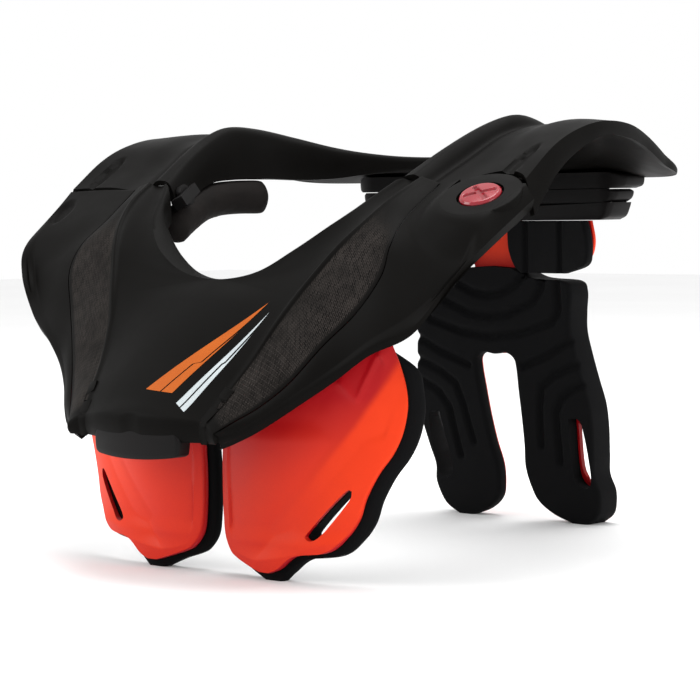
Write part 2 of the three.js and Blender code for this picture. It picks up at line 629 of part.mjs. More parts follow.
// A plate between two faces: each row has its inner and outer end, the front face is at
// front(x, z), and the back face is deeper by depth(share across).
function plate(rows, front2d, depth, columns = 5) {
  const grid = [];
  for (const [ix, iz, ox, oz] of rows) {
    grid.push(steps(columns).map((share) => {
      const x = ix + (ox - ix) * share;
      const z = iz + (oz - iz) * share;
      return [x, z, share];
    }));
  }
  const width = columns + 1;
  const points = [];
  for (const back of [false, true]) {
    for (const row of grid) {
      for (const [x, z, share] of row) {
        points.push(new THREE.Vector3(x, front2d(x, z) + (back ? depth(share) : 0), z));
      }
    }
  }
  const half = grid.length * width;
  const triangles = [];
  const quad = (a, b, c, d) => triangles.push([a, b, c], [a, c, d]);
  for (let i = 0; i + 1 < grid.length; i += 1) {
    for (let j = 0; j < columns; j += 1) {
      const a = i * width + j;
      quad(a, a + 1, a + 1 + width, a + width);
      quad(half + a, half + a + width, half + a + 1 + width, half + a + 1);
    }
    const left = i * width;
    const right = i * width + columns;
    quad(left, left + width, half + left + width, half + left);
    quad(right, half + right, half + right + width, right + width);
  }
  for (let j = 0; j < columns; j += 1) {
    const top = (grid.length - 1) * width + j;
    quad(j, half + j, half + j + 1, j + 1);
    quad(top, top + 1, half + top + 1, half + top);
  }
  return solidFrom(points, triangles);
}

function inMillimetres(rows) {
  return rows.map(([ix, iz, ox, oz]) => [ix * HALF_WIDTH, iz * HEIGHT, ox * HALF_WIDTH, oz * HEIGHT]);
}

// A prism right through the brace from front to back, with its outline seen from the front.
function prismAlong(outline) {
  const depth = 3 * HALF_DEPTH;
  const geometry = new THREE.ExtrudeGeometry(polygon(outline), { depth, bevelEnabled: false });
  return solidOf(geometry, new THREE.Matrix4().makeRotationX(Math.PI / 2).setPosition(0, depth / 2, 0));
}

function slotPrism(corners, margin) {
  const points = corners.map(([x, z]) => [x * HALF_WIDTH, z * HEIGHT]);
  const cx = points.reduce((sum, p) => sum + p[0], 0) / points.length;
  const cz = points.reduce((sum, p) => sum + p[1], 0) / points.length;
  const grown = points.map(([x, z]) => {
    const away = new THREE.Vector2(x - cx, z - cz);
    away.setLength(away.length() + margin);
    return [cx + away.x, cz + away.y];
  });
  return prismAlong(grown);
}

function turnedOver(solid) {
  return solid.mirror([1, 0, 0]);
}

// Chest struts and their pads
function chestFace(x) {
  const reach = (Math.abs(x) - CHEST_NEAREST * HALF_WIDTH) / HALF_WIDTH;
  return CHEST_FRONT * HALF_DEPTH + CHEST_WRAP * HALF_DEPTH * reach * reach;
}

const strutRows = inMillimetres(CHEST_STRUT);
const strutPlate = plate(strutRows, chestFace, () => STRUT_WALL);
const hangerEnds = CHEST_HANGER.map((share) => share * HALF_WIDTH);
const hangerFoot = strutRows[strutRows.length - 1][1] - STRUT_WALL;
const hangerRows = [0, 1].map((top) => {
  const heights = hangerEnds.map((x) => undersideOver(frontHalf, x, chestFace(x)) + FIT_GAP);
  return top === 0
    ? [hangerEnds[0], hangerFoot, hangerEnds[1], hangerFoot]
    : [hangerEnds[0], heights[0], hangerEnds[1], heights[1]];
});
const hangerPlate = plate(hangerRows, chestFace, () => STRUT_WALL);
const chestStrut = clearOf(strutPlate.add(hangerPlate), frontHalf, FIT_GAP)
  .subtract(slotPrism(CHEST_SLOT, 0));

const PAD_FRONT = STRUT_WALL + 2 * FIT_GAP;
const padRows = strutRows.map(([ix, iz, ox, oz], i) => {
  const low = i === 0 ? iz : PAD_MARGIN / 2;
  return [ix - PAD_MARGIN * (i === 0 ? 0.2 : 0.9), iz - low, ox + PAD_MARGIN, oz - low];
});
padRows[padRows.length - 1][2] -= 2 * PAD_MARGIN;
const chestPad = plate(
  padRows,
  (x) => chestFace(x) + PAD_FRONT,
  (share) => CHEST_PAD * (0.75 + 0.25 * Math.sin(Math.PI * share)),
).subtract(slotPrism(CHEST_SLOT, STRAP_SLOT_MARGIN));

// Clip over the front edge: its side view drawn across, cut to its front view.
function prismAcross(profile, halfWidth) {
  const depth = 2 * halfWidth;
  const geometry = new THREE.ExtrudeGeometry(polygon(profile), { depth, bevelEnabled: false });
  const matrix = new THREE.Matrix4().makeBasis(
    new THREE.Vector3(0, 1, 0), new THREE.Vector3(0, 0, 1), new THREE.Vector3(1, 0, 0),
  ).setPosition(-halfWidth, 0, 0);
  return solidOf(geometry, matrix);
}

const clipSide = CLIP_PROFILE.map(([along, up]) => [along * HALF_DEPTH, up * HEIGHT]);
const clipRight = CLIP_FRONT.map(([across, up]) => [across * HALF_WIDTH, up * HEIGHT]);
const clipLeft = clipRight.map(([x, z]) => [-x, z]).reverse();
const frontTab = clearOf(
  prismAcross(clipSide, CLIP_HALF_WIDTH + 1).intersect(prismAlong([...clipRight, ...clipLeft])),
  frontHalf,
  FIT_GAP,
);

// Rear strut, its ribbed back pad and its wings
function backFace(x, z) {
  const drop = Math.max(0, (BACK_LEAN_START * HEIGHT - z) / (BACK_LEAN_START * HEIGHT));
  return HALF_DEPTH * (BACK_TOP + BACK_LEAN * drop ** BACK_LEAN_POWER);
}

function wingFace(x) {
  return HALF_DEPTH * (WING_MIDDLE - WING_WRAP * (x / HALF_WIDTH) ** 2);
}

// A groove of square section turned on its edge, along a line of places on a face.
function groove(line, face) {
  const points = line.map(([across, up]) => {
    const [x, z] = [across * HALF_WIDTH, up * HEIGHT];
    return new THREE.Vector3(x, face(x, z), z);
  });
  const segments = points.slice(1).map((end, i) => {
    const start = points[i];
    const along = end.clone().sub(start);
    const side2d = GROOVE_WIDTH / Math.SQRT2;
    const bar = new THREE.BoxGeometry(side2d, side2d, along.length() + 1);
    const depthwise = new THREE.Vector3(0, 1, 0);
    const side = depthwise.clone().cross(along).normalize();
    const back = along.clone().cross(side).normalize();
    const matrix = new THREE.Matrix4()
      .makeBasis(side, back, along.normalize())
      .setPosition(start.clone().add(end).multiplyScalar(0.5));
    return solidOf(bar.rotateZ(Math.PI / 4), matrix);
  });
  return segments.reduce((all, segment) => all.add(segment));
}

function grooved(solid, lines, face) {
  return lines.reduce((rest, line) => rest.subtract(groove(line, face)), solid);
}

const backRows = inMillimetres(BACK_PLATE);
const wrapAt = (share) => THREE.MathUtils.smoothstep(share, WRAP_START, 1);
const padWrap = (share) => BACK_PAD + (BACK_WRAP - BACK_PAD) * wrapAt(share);
const backHalf = grooved(
  plate(backRows, backFace, padWrap).subtract(slotPrism(BACK_SLOT, STRAP_SLOT_MARGIN)),
  BACK_GROOVES,
  backFace,
);
const backPad = backHalf.add(turnedOver(backHalf));
const wingPad = clearOf(
  grooved(plate(inMillimetres(WING_OUTLINE), wingFace, () => WING_PAD), WING_GROOVES, wingFace),
  backPad,
  FIT_GAP,
);

const shellFront = BACK_PAD + FIT_GAP;
const legRows = backRows.slice(1).map(([ix, iz, ox, oz]) => [
  ix > 0 ? ix + STRUT_WALL : 0, iz, ix + SHELL_SHARE * (ox - ix), iz + SHELL_SHARE * (oz - iz),
]);
const legPlate = plate(
  [...legRows, ...inMillimetres(STRUT_NECK)], (x, z) => backFace(x, z) + shellFront, () => STRUT_WALL,
);
const wingShell = plate(
  inMillimetres(WING_SHELL), (x) => wingFace(x) + WING_PAD + 2 * FIT_GAP, () => STRUT_WALL,
);
const strutHalf = legPlate.add(wingShell).subtract(slotPrism(BACK_SLOT, 0));
const rearStrut = clearOf(strutHalf.add(turnedOver(strutHalf)), backPad, FIT_GAP / 2);

// Bracket between the roof and the rear strut: two plates on a common back, with a boss on top.
function bracketFace(x) {
  return HALF_DEPTH * (BRACKET_MIDDLE - BRACKET_SWEEP * (x / HALF_WIDTH) ** 2);
}

const bracketDeep = () => BRACKET_DEPTH;
const bossFoot = BRACKET_UPPER[2][1];
const boss = new THREE.BoxGeometry(2 * BOSS_HALF_WIDTH, BRACKET_WEB, HEIGHT * (BOSS_TOP - bossFoot));
const bossMiddle = new THREE.Matrix4().setPosition(
  0, BRACKET_MIDDLE * HALF_DEPTH + BRACKET_WEB, (HEIGHT * (BOSS_TOP + bossFoot)) / 2,
);
const webFace = (x) => bracketFace(x) + BRACKET_DEPTH - BRACKET_WEB;
const bracketHalf = plate(inMillimetres(BRACKET_UPPER), bracketFace, bracketDeep, 3)
  .add(plate(inMillimetres(BRACKET_LOWER), bracketFace, bracketDeep, 3))
  .add(plate(inMillimetres(BRACKET_BACK), webFace, () => BRACKET_WEB, 3));
const rearBracket = clearOf(
  clearOf(bracketHalf.add(turnedOver(bracketHalf)).add(solidOf(boss, bossMiddle)), rearStrut, FIT_GAP),
  rearTable, FIT_GAP,
);

// Pad under the lower edge of the inner wall, a section carried along that edge.
const padStations = steps(10, 0, SHOULDER_END).map((t) => {
  const foot = rear.wall(t);
  const outward = new THREE.Vector3(foot.x, foot.y - SHOULDER_MIDDLE * HALF_DEPTH, 0).normalize();
  return SHOULDER_SECTION.map(([out, up]) =>
    foot.clone().addScaledVector(outward, out * HALF_WIDTH).add(new THREE.Vector3(0, 0, up * HEIGHT)));
});
function loft(sections) {
  const count = sections[0].length;
  const triangles = [];
  for (let i = 0; i + 1 < sections.length; i += 1) {
    for (let j = 0; j < count; j += 1) {
      const [a, b] = [i * count + j, i * count + ((j + 1) % count)];
      triangles.push([a, b, b + count], [a, b + count, a + count]);
    }
  }
  const last = (sections.length - 1) * count;
  for (let j = 1; j + 1 < count; j += 1) {
    triangles.push([0, j + 1, j], [last, last + j, last + j + 1]);
  }
  return solidFrom(sections.flat(), triangles);
}
const shoulderPad = clearOf(loft(padStations), rearTable, FIT_GAP);

// Latch on the wearer's right: an ear on the rear half and a hook on the front half.
const earFoot = rear.wall(EAR_STATION);
const earUp = rear.crown(EAR_STATION).sub(earFoot);
const earBack = rear.wall(2 * EAR_STATION).sub(rear.wall(0)).normalize();
const earPlace = earFoot.clone().addScaledVector(earUp, EAR_RISE);
const earIn = earBack.clone().cross(earUp).normalize();
earIn.multiplyScalar(-Math.sign(earIn.x));
const earTop = earIn.clone().cross(earBack).normalize();
function onEar(shape, low, high) {
  const depth = high - low;
  const geometry = new THREE.ExtrudeGeometry(shape, { depth, bevelEnabled: false, curveSegments: 10 });
  const basis = earBack.clone().cross(earTop).dot(earIn) > 0 ? earTop : earTop.clone().negate();
  const matrix = new THREE.Matrix4()
    .makeBasis(earBack, basis, earIn)
    .setPosition(earPlace.clone().addScaledVector(earIn, low));
  return solidOf(geometry, matrix);
}
const earFace = EAR_THICKNESS + SHELL_WALL / 2;
const hookFace = earFace + HOOK_GAP + HOOK_THICKNESS;
const latchEar = clearOf(onEar(disc(EAR_RADIUS), 0, earFace), rearTable, FIT_GAP);
const hookArm = polygon([
  [-HOOK_REACH, -HOOK_HEIGHT / 2], [EAR_RADIUS, -HOOK_HEIGHT / 2],
  [EAR_RADIUS, HOOK_HEIGHT / 2], [-HOOK_REACH, HOOK_HEIGHT / 2],
]);
const hookRoot = polygon([
  [-HOOK_REACH, -HOOK_HEIGHT / 2], [HOOK_ROOT - HOOK_REACH, -HOOK_HEIGHT / 2],
  [HOOK_ROOT - HOOK_REACH, HOOK_HEIGHT / 2], [-HOOK_REACH, HOOK_HEIGHT / 2],
]);
const latchHook = clearOf(
  onEar(hookArm, hookFace - HOOK_THICKNESS, hookFace).add(onEar(hookRoot, SHELL_WALL / 2, hookFace)),
  frontHalf, FIT_GAP,
);

const parts = [];
function piece(name, solid, material) {
  const mesh = new THREE.Mesh(geometryOf(solid.simplify(FINEST_DETAIL)), material);
  mesh.name = name;
  parts.push(mesh);
}

piece('front_table', cover, softTouchBlack);
piece('side_panel_left', leftPanel, softTouchBlack);
piece('side_panel_right', rightPanel, softTouchBlack);
piece('front_tab', frontTab, clipBlack);
piece('front_strut_left', chestStrut, strutOrange);
piece('front_strut_right', turnedOver(chestStrut), strutOrange);
piece('front_pad_left', chestPad, foamBlack);
piece('front_pad_right', turnedOver(chestPad), foamBlack);
piece('latch_hook', turnedOver(latchHook), clipBlack);
piece('release_pin', pin, pinRed);
piece('rear_table', rearTable, softTouchBlack);
piece('shoulder_pad_left', shoulderPad, foamBlack);
piece('shoulder_pad_right', turnedOver(shoulderPad), foamBlack);
piece('latch_ear', turnedOver(latchEar), clipBlack);
piece('rear_bracket', rearBracket, clipBlack);
piece('rear_strut', rearStrut, strutOrange);
piece('back_pad', backPad, foamBlack);
piece('wing_pad_left', wingPad, foamBlack);
piece('wing_pad_right', turnedOver(wingPad), foamBlack);

// The origin is under the middle of the whole brace.
const brace = new THREE.Group();
parts.forEach((mesh) => brace.add(mesh));
const extent = new THREE.Box3().setFromObject(brace);
brace.position.set(-(extent.min.x + extent.max.x) / 2, -(extent.min.y + extent.max.y) / 2, -extent.min.z);

export default brace;
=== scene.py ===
"""Motocross neck brace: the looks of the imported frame, in metres, +Z up, the wearer facing -Y."""

import bmesh
import bpy
import numpy as np
from mathutils import Matrix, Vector
from mathutils.bvhtree import BVHTree


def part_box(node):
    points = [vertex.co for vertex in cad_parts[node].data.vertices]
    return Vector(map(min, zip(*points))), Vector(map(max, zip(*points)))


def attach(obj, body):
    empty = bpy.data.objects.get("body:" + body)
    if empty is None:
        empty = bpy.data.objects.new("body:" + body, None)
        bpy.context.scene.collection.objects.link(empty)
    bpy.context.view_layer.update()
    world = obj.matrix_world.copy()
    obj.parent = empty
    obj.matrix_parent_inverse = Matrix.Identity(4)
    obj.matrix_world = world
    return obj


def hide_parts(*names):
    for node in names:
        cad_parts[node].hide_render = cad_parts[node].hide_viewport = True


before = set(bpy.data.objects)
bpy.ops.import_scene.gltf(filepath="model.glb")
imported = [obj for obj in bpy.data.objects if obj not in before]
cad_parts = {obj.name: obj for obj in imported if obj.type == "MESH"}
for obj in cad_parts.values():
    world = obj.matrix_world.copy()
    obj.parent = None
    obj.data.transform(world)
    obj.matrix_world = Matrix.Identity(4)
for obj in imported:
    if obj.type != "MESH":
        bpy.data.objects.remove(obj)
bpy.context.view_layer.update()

# Driving sizes in millimetres, as the solids have them
HALF_WIDTH, HALF_DEPTH, HEIGHT = 166.0, 164.0, 230.0
SIZES = np.array([HALF_WIDTH, HALF_DEPTH, HEIGHT])
ACROSS_UP = np.array([HALF_WIDTH, HEIGHT])
SHELL_WALL = 2.9
SEAM_GAP = 0.8
HEM_DEPTH, HEM_INSET = 5.0, 2.0
EYE_RADIUS, EYE_THICKNESS, EYE_PROUD = 21.0, 10.0, 0.6
EYE_FLAT = 19.0
CAP_RADIUS, CAP_PROUD, CAP_DOME, CAP_EDGE, CAP_GAP = 10.5, 0.8, 0.5, 0.9, 1.3
CAP_SLOT_HALF, CAP_SLOT_DEPTH, CAP_SLOT_REACH = 1.4, 1.5, 0.8
CAP_FOOT, SEAT_FOOT, BORE_RADIUS = -1.2, -1.9, 5.5
SHANK, NUT, NUT_TOP, NUT_FOOT = 5.0, 8.0, -15.3, -17.8
POCKET_GAP, POCKET_DROP = 2.0, 0.5
STRUT_WALL, PAD_SEAT = 3.0, 3.8
CHEST_PAD, PAD_MARGIN = 8.0, 4.0
CHEST_FOAM_SLOT, BACK_FOAM_SLOT = -1.2, 3.5
BACK_PAD, BACK_WRAP, WRAP_START = 8.0, 19.0, 0.82
WING_PAD = 7.0
CRISP_ANGLE = 0.7
WELD = 0.02
MM = 0.001
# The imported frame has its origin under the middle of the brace.
SHIFT = np.array([0.0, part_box("front_tab")[0][1] / MM + HALF_DEPTH, 0.0])

# Camera: its axes, place and focal length, recovered from the photograph's mirrored points
CAMERA_RIGHT = (0.7497, 0.6616, -0.0144)
CAMERA_UP = (-0.0295, 0.0550, 0.9980)
CAMERA_BACK = (0.6611, -0.7479, 0.0608)
CAMERA_PLACE = np.array([865.1, -978.6, 187.3])
CAMERA_LENS, SENSOR = 124.63, 36.0

# Each row of a line is [across, along, up]: shares of half width, half depth and height.
FRONT_LINES = {
    "spine": [
        [0, -0.985, 0.365], [0, -0.909, 0.448], [0, -0.811, 0.535], [0, -0.707, 0.607], [0, -0.625, 0.65],
    ],
    "neck": [
        [0, -0.625, 0.65], [0.157, -0.61, 0.666], [0.289, -0.579, 0.715],
        [0.392, -0.506, 0.774], [0.458, -0.412, 0.822], [0.512, -0.329, 0.865],
    ],
    "lip": [
        [0, -0.561, 0.641], [0.145, -0.53, 0.652], [0.265, -0.488, 0.676],
        [0.349, -0.46, 0.713], [0.41, -0.427, 0.746], [0.452, -0.36, 0.774],
    ],
    "ridge": [
        [0.258, -0.942, 0.358], [0.283, -0.884, 0.409], [0.313, -0.808, 0.476], [0.352, -0.735, 0.557],
        [0.389, -0.692, 0.611], [0.434, -0.64, 0.67], [0.479, -0.588, 0.724],
        [0.524, -0.521, 0.774], [0.56, -0.433, 0.824], [0.584, -0.329, 0.865],
    ],
    "seam": [
        [0.313, -0.962, 0.339], [0.349, -0.921, 0.361], [0.404, -0.863, 0.393], [0.464, -0.802, 0.441],
        [0.536, -0.735, 0.517], [0.611, -0.671, 0.585], [0.666, -0.622, 0.661],
        [0.66, -0.573, 0.723], [0.639, -0.476, 0.78], [0.652, -0.329, 0.852],
    ],
    "edge": [
        [0.31, -0.945, 0.328], [0.355, -0.924, 0.341], [0.419, -0.875, 0.374], [0.494, -0.805, 0.422],
        [0.584, -0.738, 0.476], [0.681, -0.695, 0.53], [0.789, -0.637, 0.583],
        [0.886, -0.576, 0.654], [0.94, -0.512, 0.743], [0.97, -0.329, 0.85],
    ],
    "rim": [
        [0.307, -0.929, 0.312], [0.36, -0.917, 0.328], [0.422, -0.872, 0.357], [0.506, -0.799, 0.409],
        [0.596, -0.741, 0.461], [0.693, -0.704, 0.515], [0.811, -0.653, 0.56],
        [0.913, -0.609, 0.654], [0.979, -0.524, 0.728], [1, -0.329, 0.817],
    ],
}
REAR_LINES = {
    "wall": [
        [0.458, -0.323, 0.8], [0.5, -0.213, 0.833], [0.536, -0.085, 0.865], [0.548, 0.049, 0.876],
        [0.518, 0.183, 0.876], [0.452, 0.28, 0.872], [0.361, 0.348, 0.874],
        [0.259, 0.396, 0.883], [0.139, 0.427, 0.889], [0, 0.439, 0.891],
    ],
    "crown": [
        [0.512, -0.323, 0.87], [0.545, -0.183, 0.928], [0.569, -0.043, 0.974], [0.581, 0.073, 0.997],
        [0.548, 0.183, 0.991], [0.47, 0.287, 0.971], [0.367, 0.351, 0.95],
        [0.265, 0.399, 0.936], [0.145, 0.445, 0.926], [0, 0.459, 0.922],
    ],
    "channel": [
        [0.652, -0.323, 0.852], [0.675, -0.171, 0.907], [0.696, -0.049, 0.954], [0.708, 0.085, 0.978],
        [0.705, 0.232, 0.983], [0.657, 0.378, 0.963], [0.554, 0.518, 0.933],
        [0.41, 0.61, 0.911], [0.229, 0.665, 0.9], [0, 0.683, 0.896],
    ],
    "hump": [
        [0.783, -0.323, 0.859], [0.795, -0.177, 0.915], [0.804, -0.055, 0.963], [0.81, 0.085, 0.988],
        [0.795, 0.244, 0.99], [0.747, 0.402, 0.967], [0.663, 0.549, 0.935],
        [0.518, 0.683, 0.907], [0.301, 0.774, 0.893], [0, 0.817, 0.889],
    ],
    "side": [
        [0.964, -0.323, 0.857], [0.964, -0.189, 0.925], [0.964, -0.067, 0.963], [0.961, 0.073, 0.983],
        [0.94, 0.232, 0.98], [0.901, 0.384, 0.959], [0.855, 0.555, 0.917],
        [0.783, 0.726, 0.88], [0.458, 0.921, 0.878], [0, 1, 0.878],
    ],
    "skirt": [
        [0.997, -0.323, 0.783], [0.985, -0.201, 0.865], [0.973, -0.073, 0.917], [0.967, 0.067, 0.951],
        [0.943, 0.232, 0.948], [0.904, 0.384, 0.928], [0.857, 0.555, 0.891],
        [0.783, 0.727, 0.867], [0.458, 0.923, 0.865], [0, 1.001, 0.865],
    ],
}
# Outlines of plates: rows of [inner across, inner up, outer across, outer up], from the foot up
CHEST_STRUT = [
    [0.217, 0.019, 0.265, 0.019], [0.165, 0.03, 0.301, 0.03], [0.108, 0.044, 0.361, 0.06],
    [0.078, 0.057, 0.464, 0.072], [0.051, 0.087, 0.518, 0.104], [0.042, 0.13, 0.554, 0.143],
    [0.039, 0.178, 0.575, 0.191], [0.039, 0.226, 0.608, 0.241], [0.041, 0.27, 0.645, 0.283],
    [0.045, 0.313, 0.669, 0.326], [0.051, 0.365, 0.682, 0.378], [0.06, 0.417, 0.68, 0.422],
    [0.072, 0.47, 0.666, 0.47], [0.084, 0.513, 0.647, 0.513],
]
CHEST_SLOT = [[0.536, 0.205], [0.524, 0.18], [0.434, 0.102], [0.392, 0.1], [0.41, 0.122], [0.512, 0.2]]
BACK_PLATE = [
    [0.217, 0, 0.289, 0], [0.145, 0.02, 0.331, 0.02], [0.09, 0.05, 0.352, 0.044],
    [0.068, 0.087, 0.364, 0.087], [0.058, 0.14, 0.352, 0.13], [0.07, 0.2, 0.364, 0.18],
    [0.078, 0.27, 0.379, 0.25], [0.082, 0.34, 0.382, 0.31], [0.085, 0.395, 0.367, 0.37],
    [0.078, 0.42, 0.352, 0.43], [0.045, 0.433, 0.34, 0.49], [0, 0.435, 0.346, 0.54],
    [0, 0.52, 0.355, 0.59], [0, 0.59, 0.33, 0.615], [0, 0.635, 0.2, 0.622], [0, 0.652, 0.12, 0.645],
]
BACK_SLOT = [[0.289, 0.258], [0.331, 0.243], [0.331, 0.123], [0.277, 0.135]]
BACK_GROOVES = [
    [[-x, z] for x, z in half[:0:-1]] + half for half in (
        [[0, 0.578], [0.06, 0.584], [0.13, 0.606], [0.16, 0.63]],
        [[0, 0.526], [0.09, 0.532], [0.2, 0.565], [0.235, 0.6], [0.24, 0.63]],
        [[0, 0.474], [0.13, 0.484], [0.27, 0.514], [0.298, 0.54], [0.3, 0.63]],
    )
]
HIP_GROOVES = [
    [[0.12, 0.4], [0.24, 0.432], [0.4, 0.49]],
    [[0.15, 0.2], [0.17, 0.3], [0.19, 0.35], [0.25, 0.38], [0.4, 0.425]],
    [[0.22, 0.16], [0.235, 0.285], [0.27, 0.325], [0.33, 0.35], [0.4, 0.37]],
]
WING_OUTLINE = [
    [0.145, 0.635, 0.36, 0.635], [0.114, 0.652, 0.47, 0.655], [0.09, 0.687, 0.494, 0.683],
    [0.084, 0.72, 0.491, 0.72], [0.084, 0.763, 0.47, 0.763],
]
WING_GROOVES = [[[0.175, 0.6], [0.175, 0.8]], [[0.345, 0.6], [0.345, 0.8]]]
SHOULDER_SECTION = [
    [0.004, -0.004], [-0.018, -0.026], [-0.024, -0.052], [-0.012, -0.078],
    [0.02, -0.088], [0.055, -0.075], [0.073, -0.045], [0.07, -0.013], [0.045, -0.004],
]
SHOULDER_MIDDLE, SHOULDER_END = -0.09, 0.45
PIN_PLACE = np.array([0.861, -0.402, 0.826]) * SIZES
PIN_AXIS = np.array([0.11, -0.54, 1.0]) / np.linalg.norm([0.11, -0.54, 1.0])
THUMB_PLACE = np.array([-0.915, -0.43, 0.815]) * SIZES
LEAF_PLACE = np.array([0.88, -0.245, 0.9]) * SIZES


# ---- Materials ----
def linear(code, alpha=1.0):
    """An sRGB hex value as linear red, green, blue and alpha."""
    channels = [int(code[i:i + 2], 16) / 255 for i in (1, 3, 5)]
    return (*[c / 12.92 if c <= 0.04045 else ((c + 0.055) / 1.055) ** 2.4 for c in channels], alpha)


def add(tree, kind, settings=(), links=()):
    """Adds a node; settings name its own properties or its sockets, links name sockets and sources."""
    node = tree.nodes.new(kind)
    for name, value in dict(settings).items():
        if isinstance(name, str) and hasattr(node, name):
            setattr(node, name, value)
        else:
            node.inputs[name].default_value = value
    for name, source in dict(links).items():
        tree.links.new(source, node.inputs[name])
    return node


def moulded_surface(name, tones, gloss, clouds, pores, dents, **shader):
    """A new material. Broad noise takes the colour from one tone to the other, and the roughness from low to
    high, while it goes from 0.3 to 0.7; fine noise dents the surface. Noises are (grains per metre, detail) and
    dents (strength, depth in metres). Returns material, tree, shader, place, colour and normal."""
    material = bpy.data.materials.new(name)
    material.use_nodes = True
    tree = material.node_tree
    bsdf = tree.nodes["Principled BSDF"]
    for socket, value in shader.items():
        bsdf.inputs[socket.replace("_", " ")].default_value = value
    place = add(tree, "ShaderNodeTexCoord").outputs["Object"]
    broad, fine = (
        add(tree, "ShaderNodeTexNoise", {"Scale": scale, "Detail": detail, "Roughness": 0.6},
            {"Vector": place})
        for scale, detail in (clouds, pores)
    )
    share, rough = (
        add(tree, "ShaderNodeMapRange", {1: 0.3, 2: 0.7, 3: low, 4: high}, {0: broad.outputs["Fac"]})
        for low, high in ((0, 1), gloss)
    )
    colour = add(tree, "ShaderNodeMix", {"data_type": "RGBA", 6: linear(tones[0]), 7: linear(tones[1])},
                 {"Factor": share.outputs[0]}).outputs[2]
    normal = add(tree, "ShaderNodeBump", {"Strength": dents[0], "Distance": dents[1]},
                 {"Height": fine.outputs["Fac"]}).outputs[0]
    tree.links.new(colour, bsdf.inputs["Base Color"])
    tree.links.new(rough.outputs[0], bsdf.inputs["Roughness"])
    tree.links.new(normal, bsdf.inputs["Normal"])
    return material, tree, bsdf, place, colour, normal


def soft_touch_shell(name):
    """Moulded nylon under a soft-touch coat: a very fine even grain that spreads highlights wide."""
    return moulded_surface(name, ("#080706", "#0b0a09"), (0.46, 0.58), (38, 4.0), (1600, 3.0), (0.18, 0.00012),
                           IOR=1.45, Specular_IOR_Level=0.045)


def woven_shell(name):
    """The soft-touch shell with a woven pattern moulded into its bands, and painted highlight where it catches
    light in short dashes.
    The dashes are slanted, 3.2 mm long in rows 1.1 mm apart, coarser than the real 0.6 mm so that they show."""
    material, tree, bsdf, place, colour, normal = soft_touch_shell(name)
    flat = add(tree, "ShaderNodeUVMap", {"uv_map": "weave"}).outputs[0]
    turned = add(tree, "ShaderNodeMapping", {"Rotation": (0, 0, 0.42)}, {"Vector": flat})
    dash = add(tree, "ShaderNodeTexBrick", {
        "offset": 0.5, "Scale": 1.0, "Mortar Size": 0.16, "Mortar Smooth": 0.6, "Bias": 0.0,
        "Brick Width": 3.2, "Row Height": 1.1,
        "Color1": (0, 0, 0, 1), "Color2": (0.35, 0.35, 0.35, 1), "Mortar": (1, 1, 1, 1),
    }, {"Vector": turned.outputs[0]})
    band = add(tree, "ShaderNodeAttribute", {"attribute_name": "band"}).outputs["Fac"]
    wear = add(tree, "ShaderNodeTexNoise", {"Scale": 90, "Detail": 2.0, "Roughness": 0.6}, {"Vector": place})
    patchy = add(tree, "ShaderNodeMapRange", {1: 0.3, 2: 0.7, 3: 0.35, 4: 1.0}, {0: wear.outputs["Fac"]})
    amount = add(tree, "ShaderNodeMath", {"operation": "MULTIPLY"}, {0: band, 1: patchy.outputs[0]})
    share = add(tree, "ShaderNodeMath", {"operation": "MULTIPLY"},
                {0: dash.outputs["Color"], 1: amount.outputs[0]})
    # Painted highlight: the dashes are mixed towards a lighter brown-grey, standing for the light that their
    # relief catches.
    painted_dash_highlight = add(tree, "ShaderNodeMix", {"data_type": "RGBA", 7: linear("#3c3734")},
                {"Factor": share.outputs[0], 6: colour})
    relief = add(tree, "ShaderNodeBump", {"Strength": 0.8, "Distance": 0.0003},
                 {"Height": share.outputs[0], "Normal": normal})
    tree.links.new(painted_dash_highlight.outputs[2], bsdf.inputs["Base Color"])
    tree.links.new(relief.outputs[0], bsdf.inputs["Normal"])
    return material


def moulded_foam(name, tones):
    """Pressed EVA foam: closed cells under a leathery skin with 0.7 mm pores that take no shine."""
    return moulded_surface(name, tones, (0.7, 0.85), (60, 3.0), (1300, 4.0), (0.35, 0.0003),
                           IOR=1.4, Specular_IOR_Level=0.1)[0]


def moulded_orange(name):
    """Injection-moulded polypropylene: a waxy semi-gloss, with painted shade: its colour is mixed to crimson
    where its neighbours occlude it, by the ambient occlusion from 0.25 to 0.8 times one less the point's own
    painted shade."""
    material, tree, bsdf, place, colour, normal = moulded_surface(
        name, ("#dc340a", "#e23a0e"), (0.36, 0.46), (25, 3.0), (900, 3.0), (0.08, 0.0001),
        IOR=1.49, Specular_IOR_Level=0.16)
    sky = add(tree, "ShaderNodeAmbientOcclusion", {"Distance": 0.09, "samples": 8})
    open_share = add(tree, "ShaderNodeMapRange", {1: 0.25, 2: 0.8, 3: 0, 4: 1}, {0: sky.outputs["AO"]})
    own = add(tree, "ShaderNodeAttribute", {"attribute_name": "shade"})
    lit = add(tree, "ShaderNodeMath", {"operation": "SUBTRACT", 0: 1.0}, {1: own.outputs["Fac"]})
    bright = add(tree, "ShaderNodeMath", {"operation": "MULTIPLY"},
                 {0: open_share.outputs[0], 1: lit.outputs[0]})
    # Painted shade: deep crimson mixed in where the surface is occluded or carries the painted shade value.
    shaded = add(tree, "ShaderNodeMix", {"data_type": "RGBA", 6: linear("#a40414")},
                 {"Factor": bright.outputs[0], 7: colour})
    tree.links.new(shaded.outputs[2], bsdf.inputs["Base Color"])
    return material


def plain_moulding(name, tones, rough, pores=700.0, shine=0.1):
    """Moulded nylon as it leaves the tool: fine spark-eroded grain and slight gloss changes."""
    gloss = (rough - 0.05, rough + 0.06)
    return moulded_surface(name, tones, gloss, (45, 3.0), (pores, 3.0), (0.15, 0.0002),
                           IOR=1.5, Specular_IOR_Level=shine)[0]


# Soft black that shows its form by wide dim highlights; the cover's bands carry the woven dashes, in relief and
# as painted highlight.
shell_black = soft_touch_shell("soft_touch_nylon")[0]
shell_woven = woven_shell("soft_touch_nylon_with_moulded_weave")
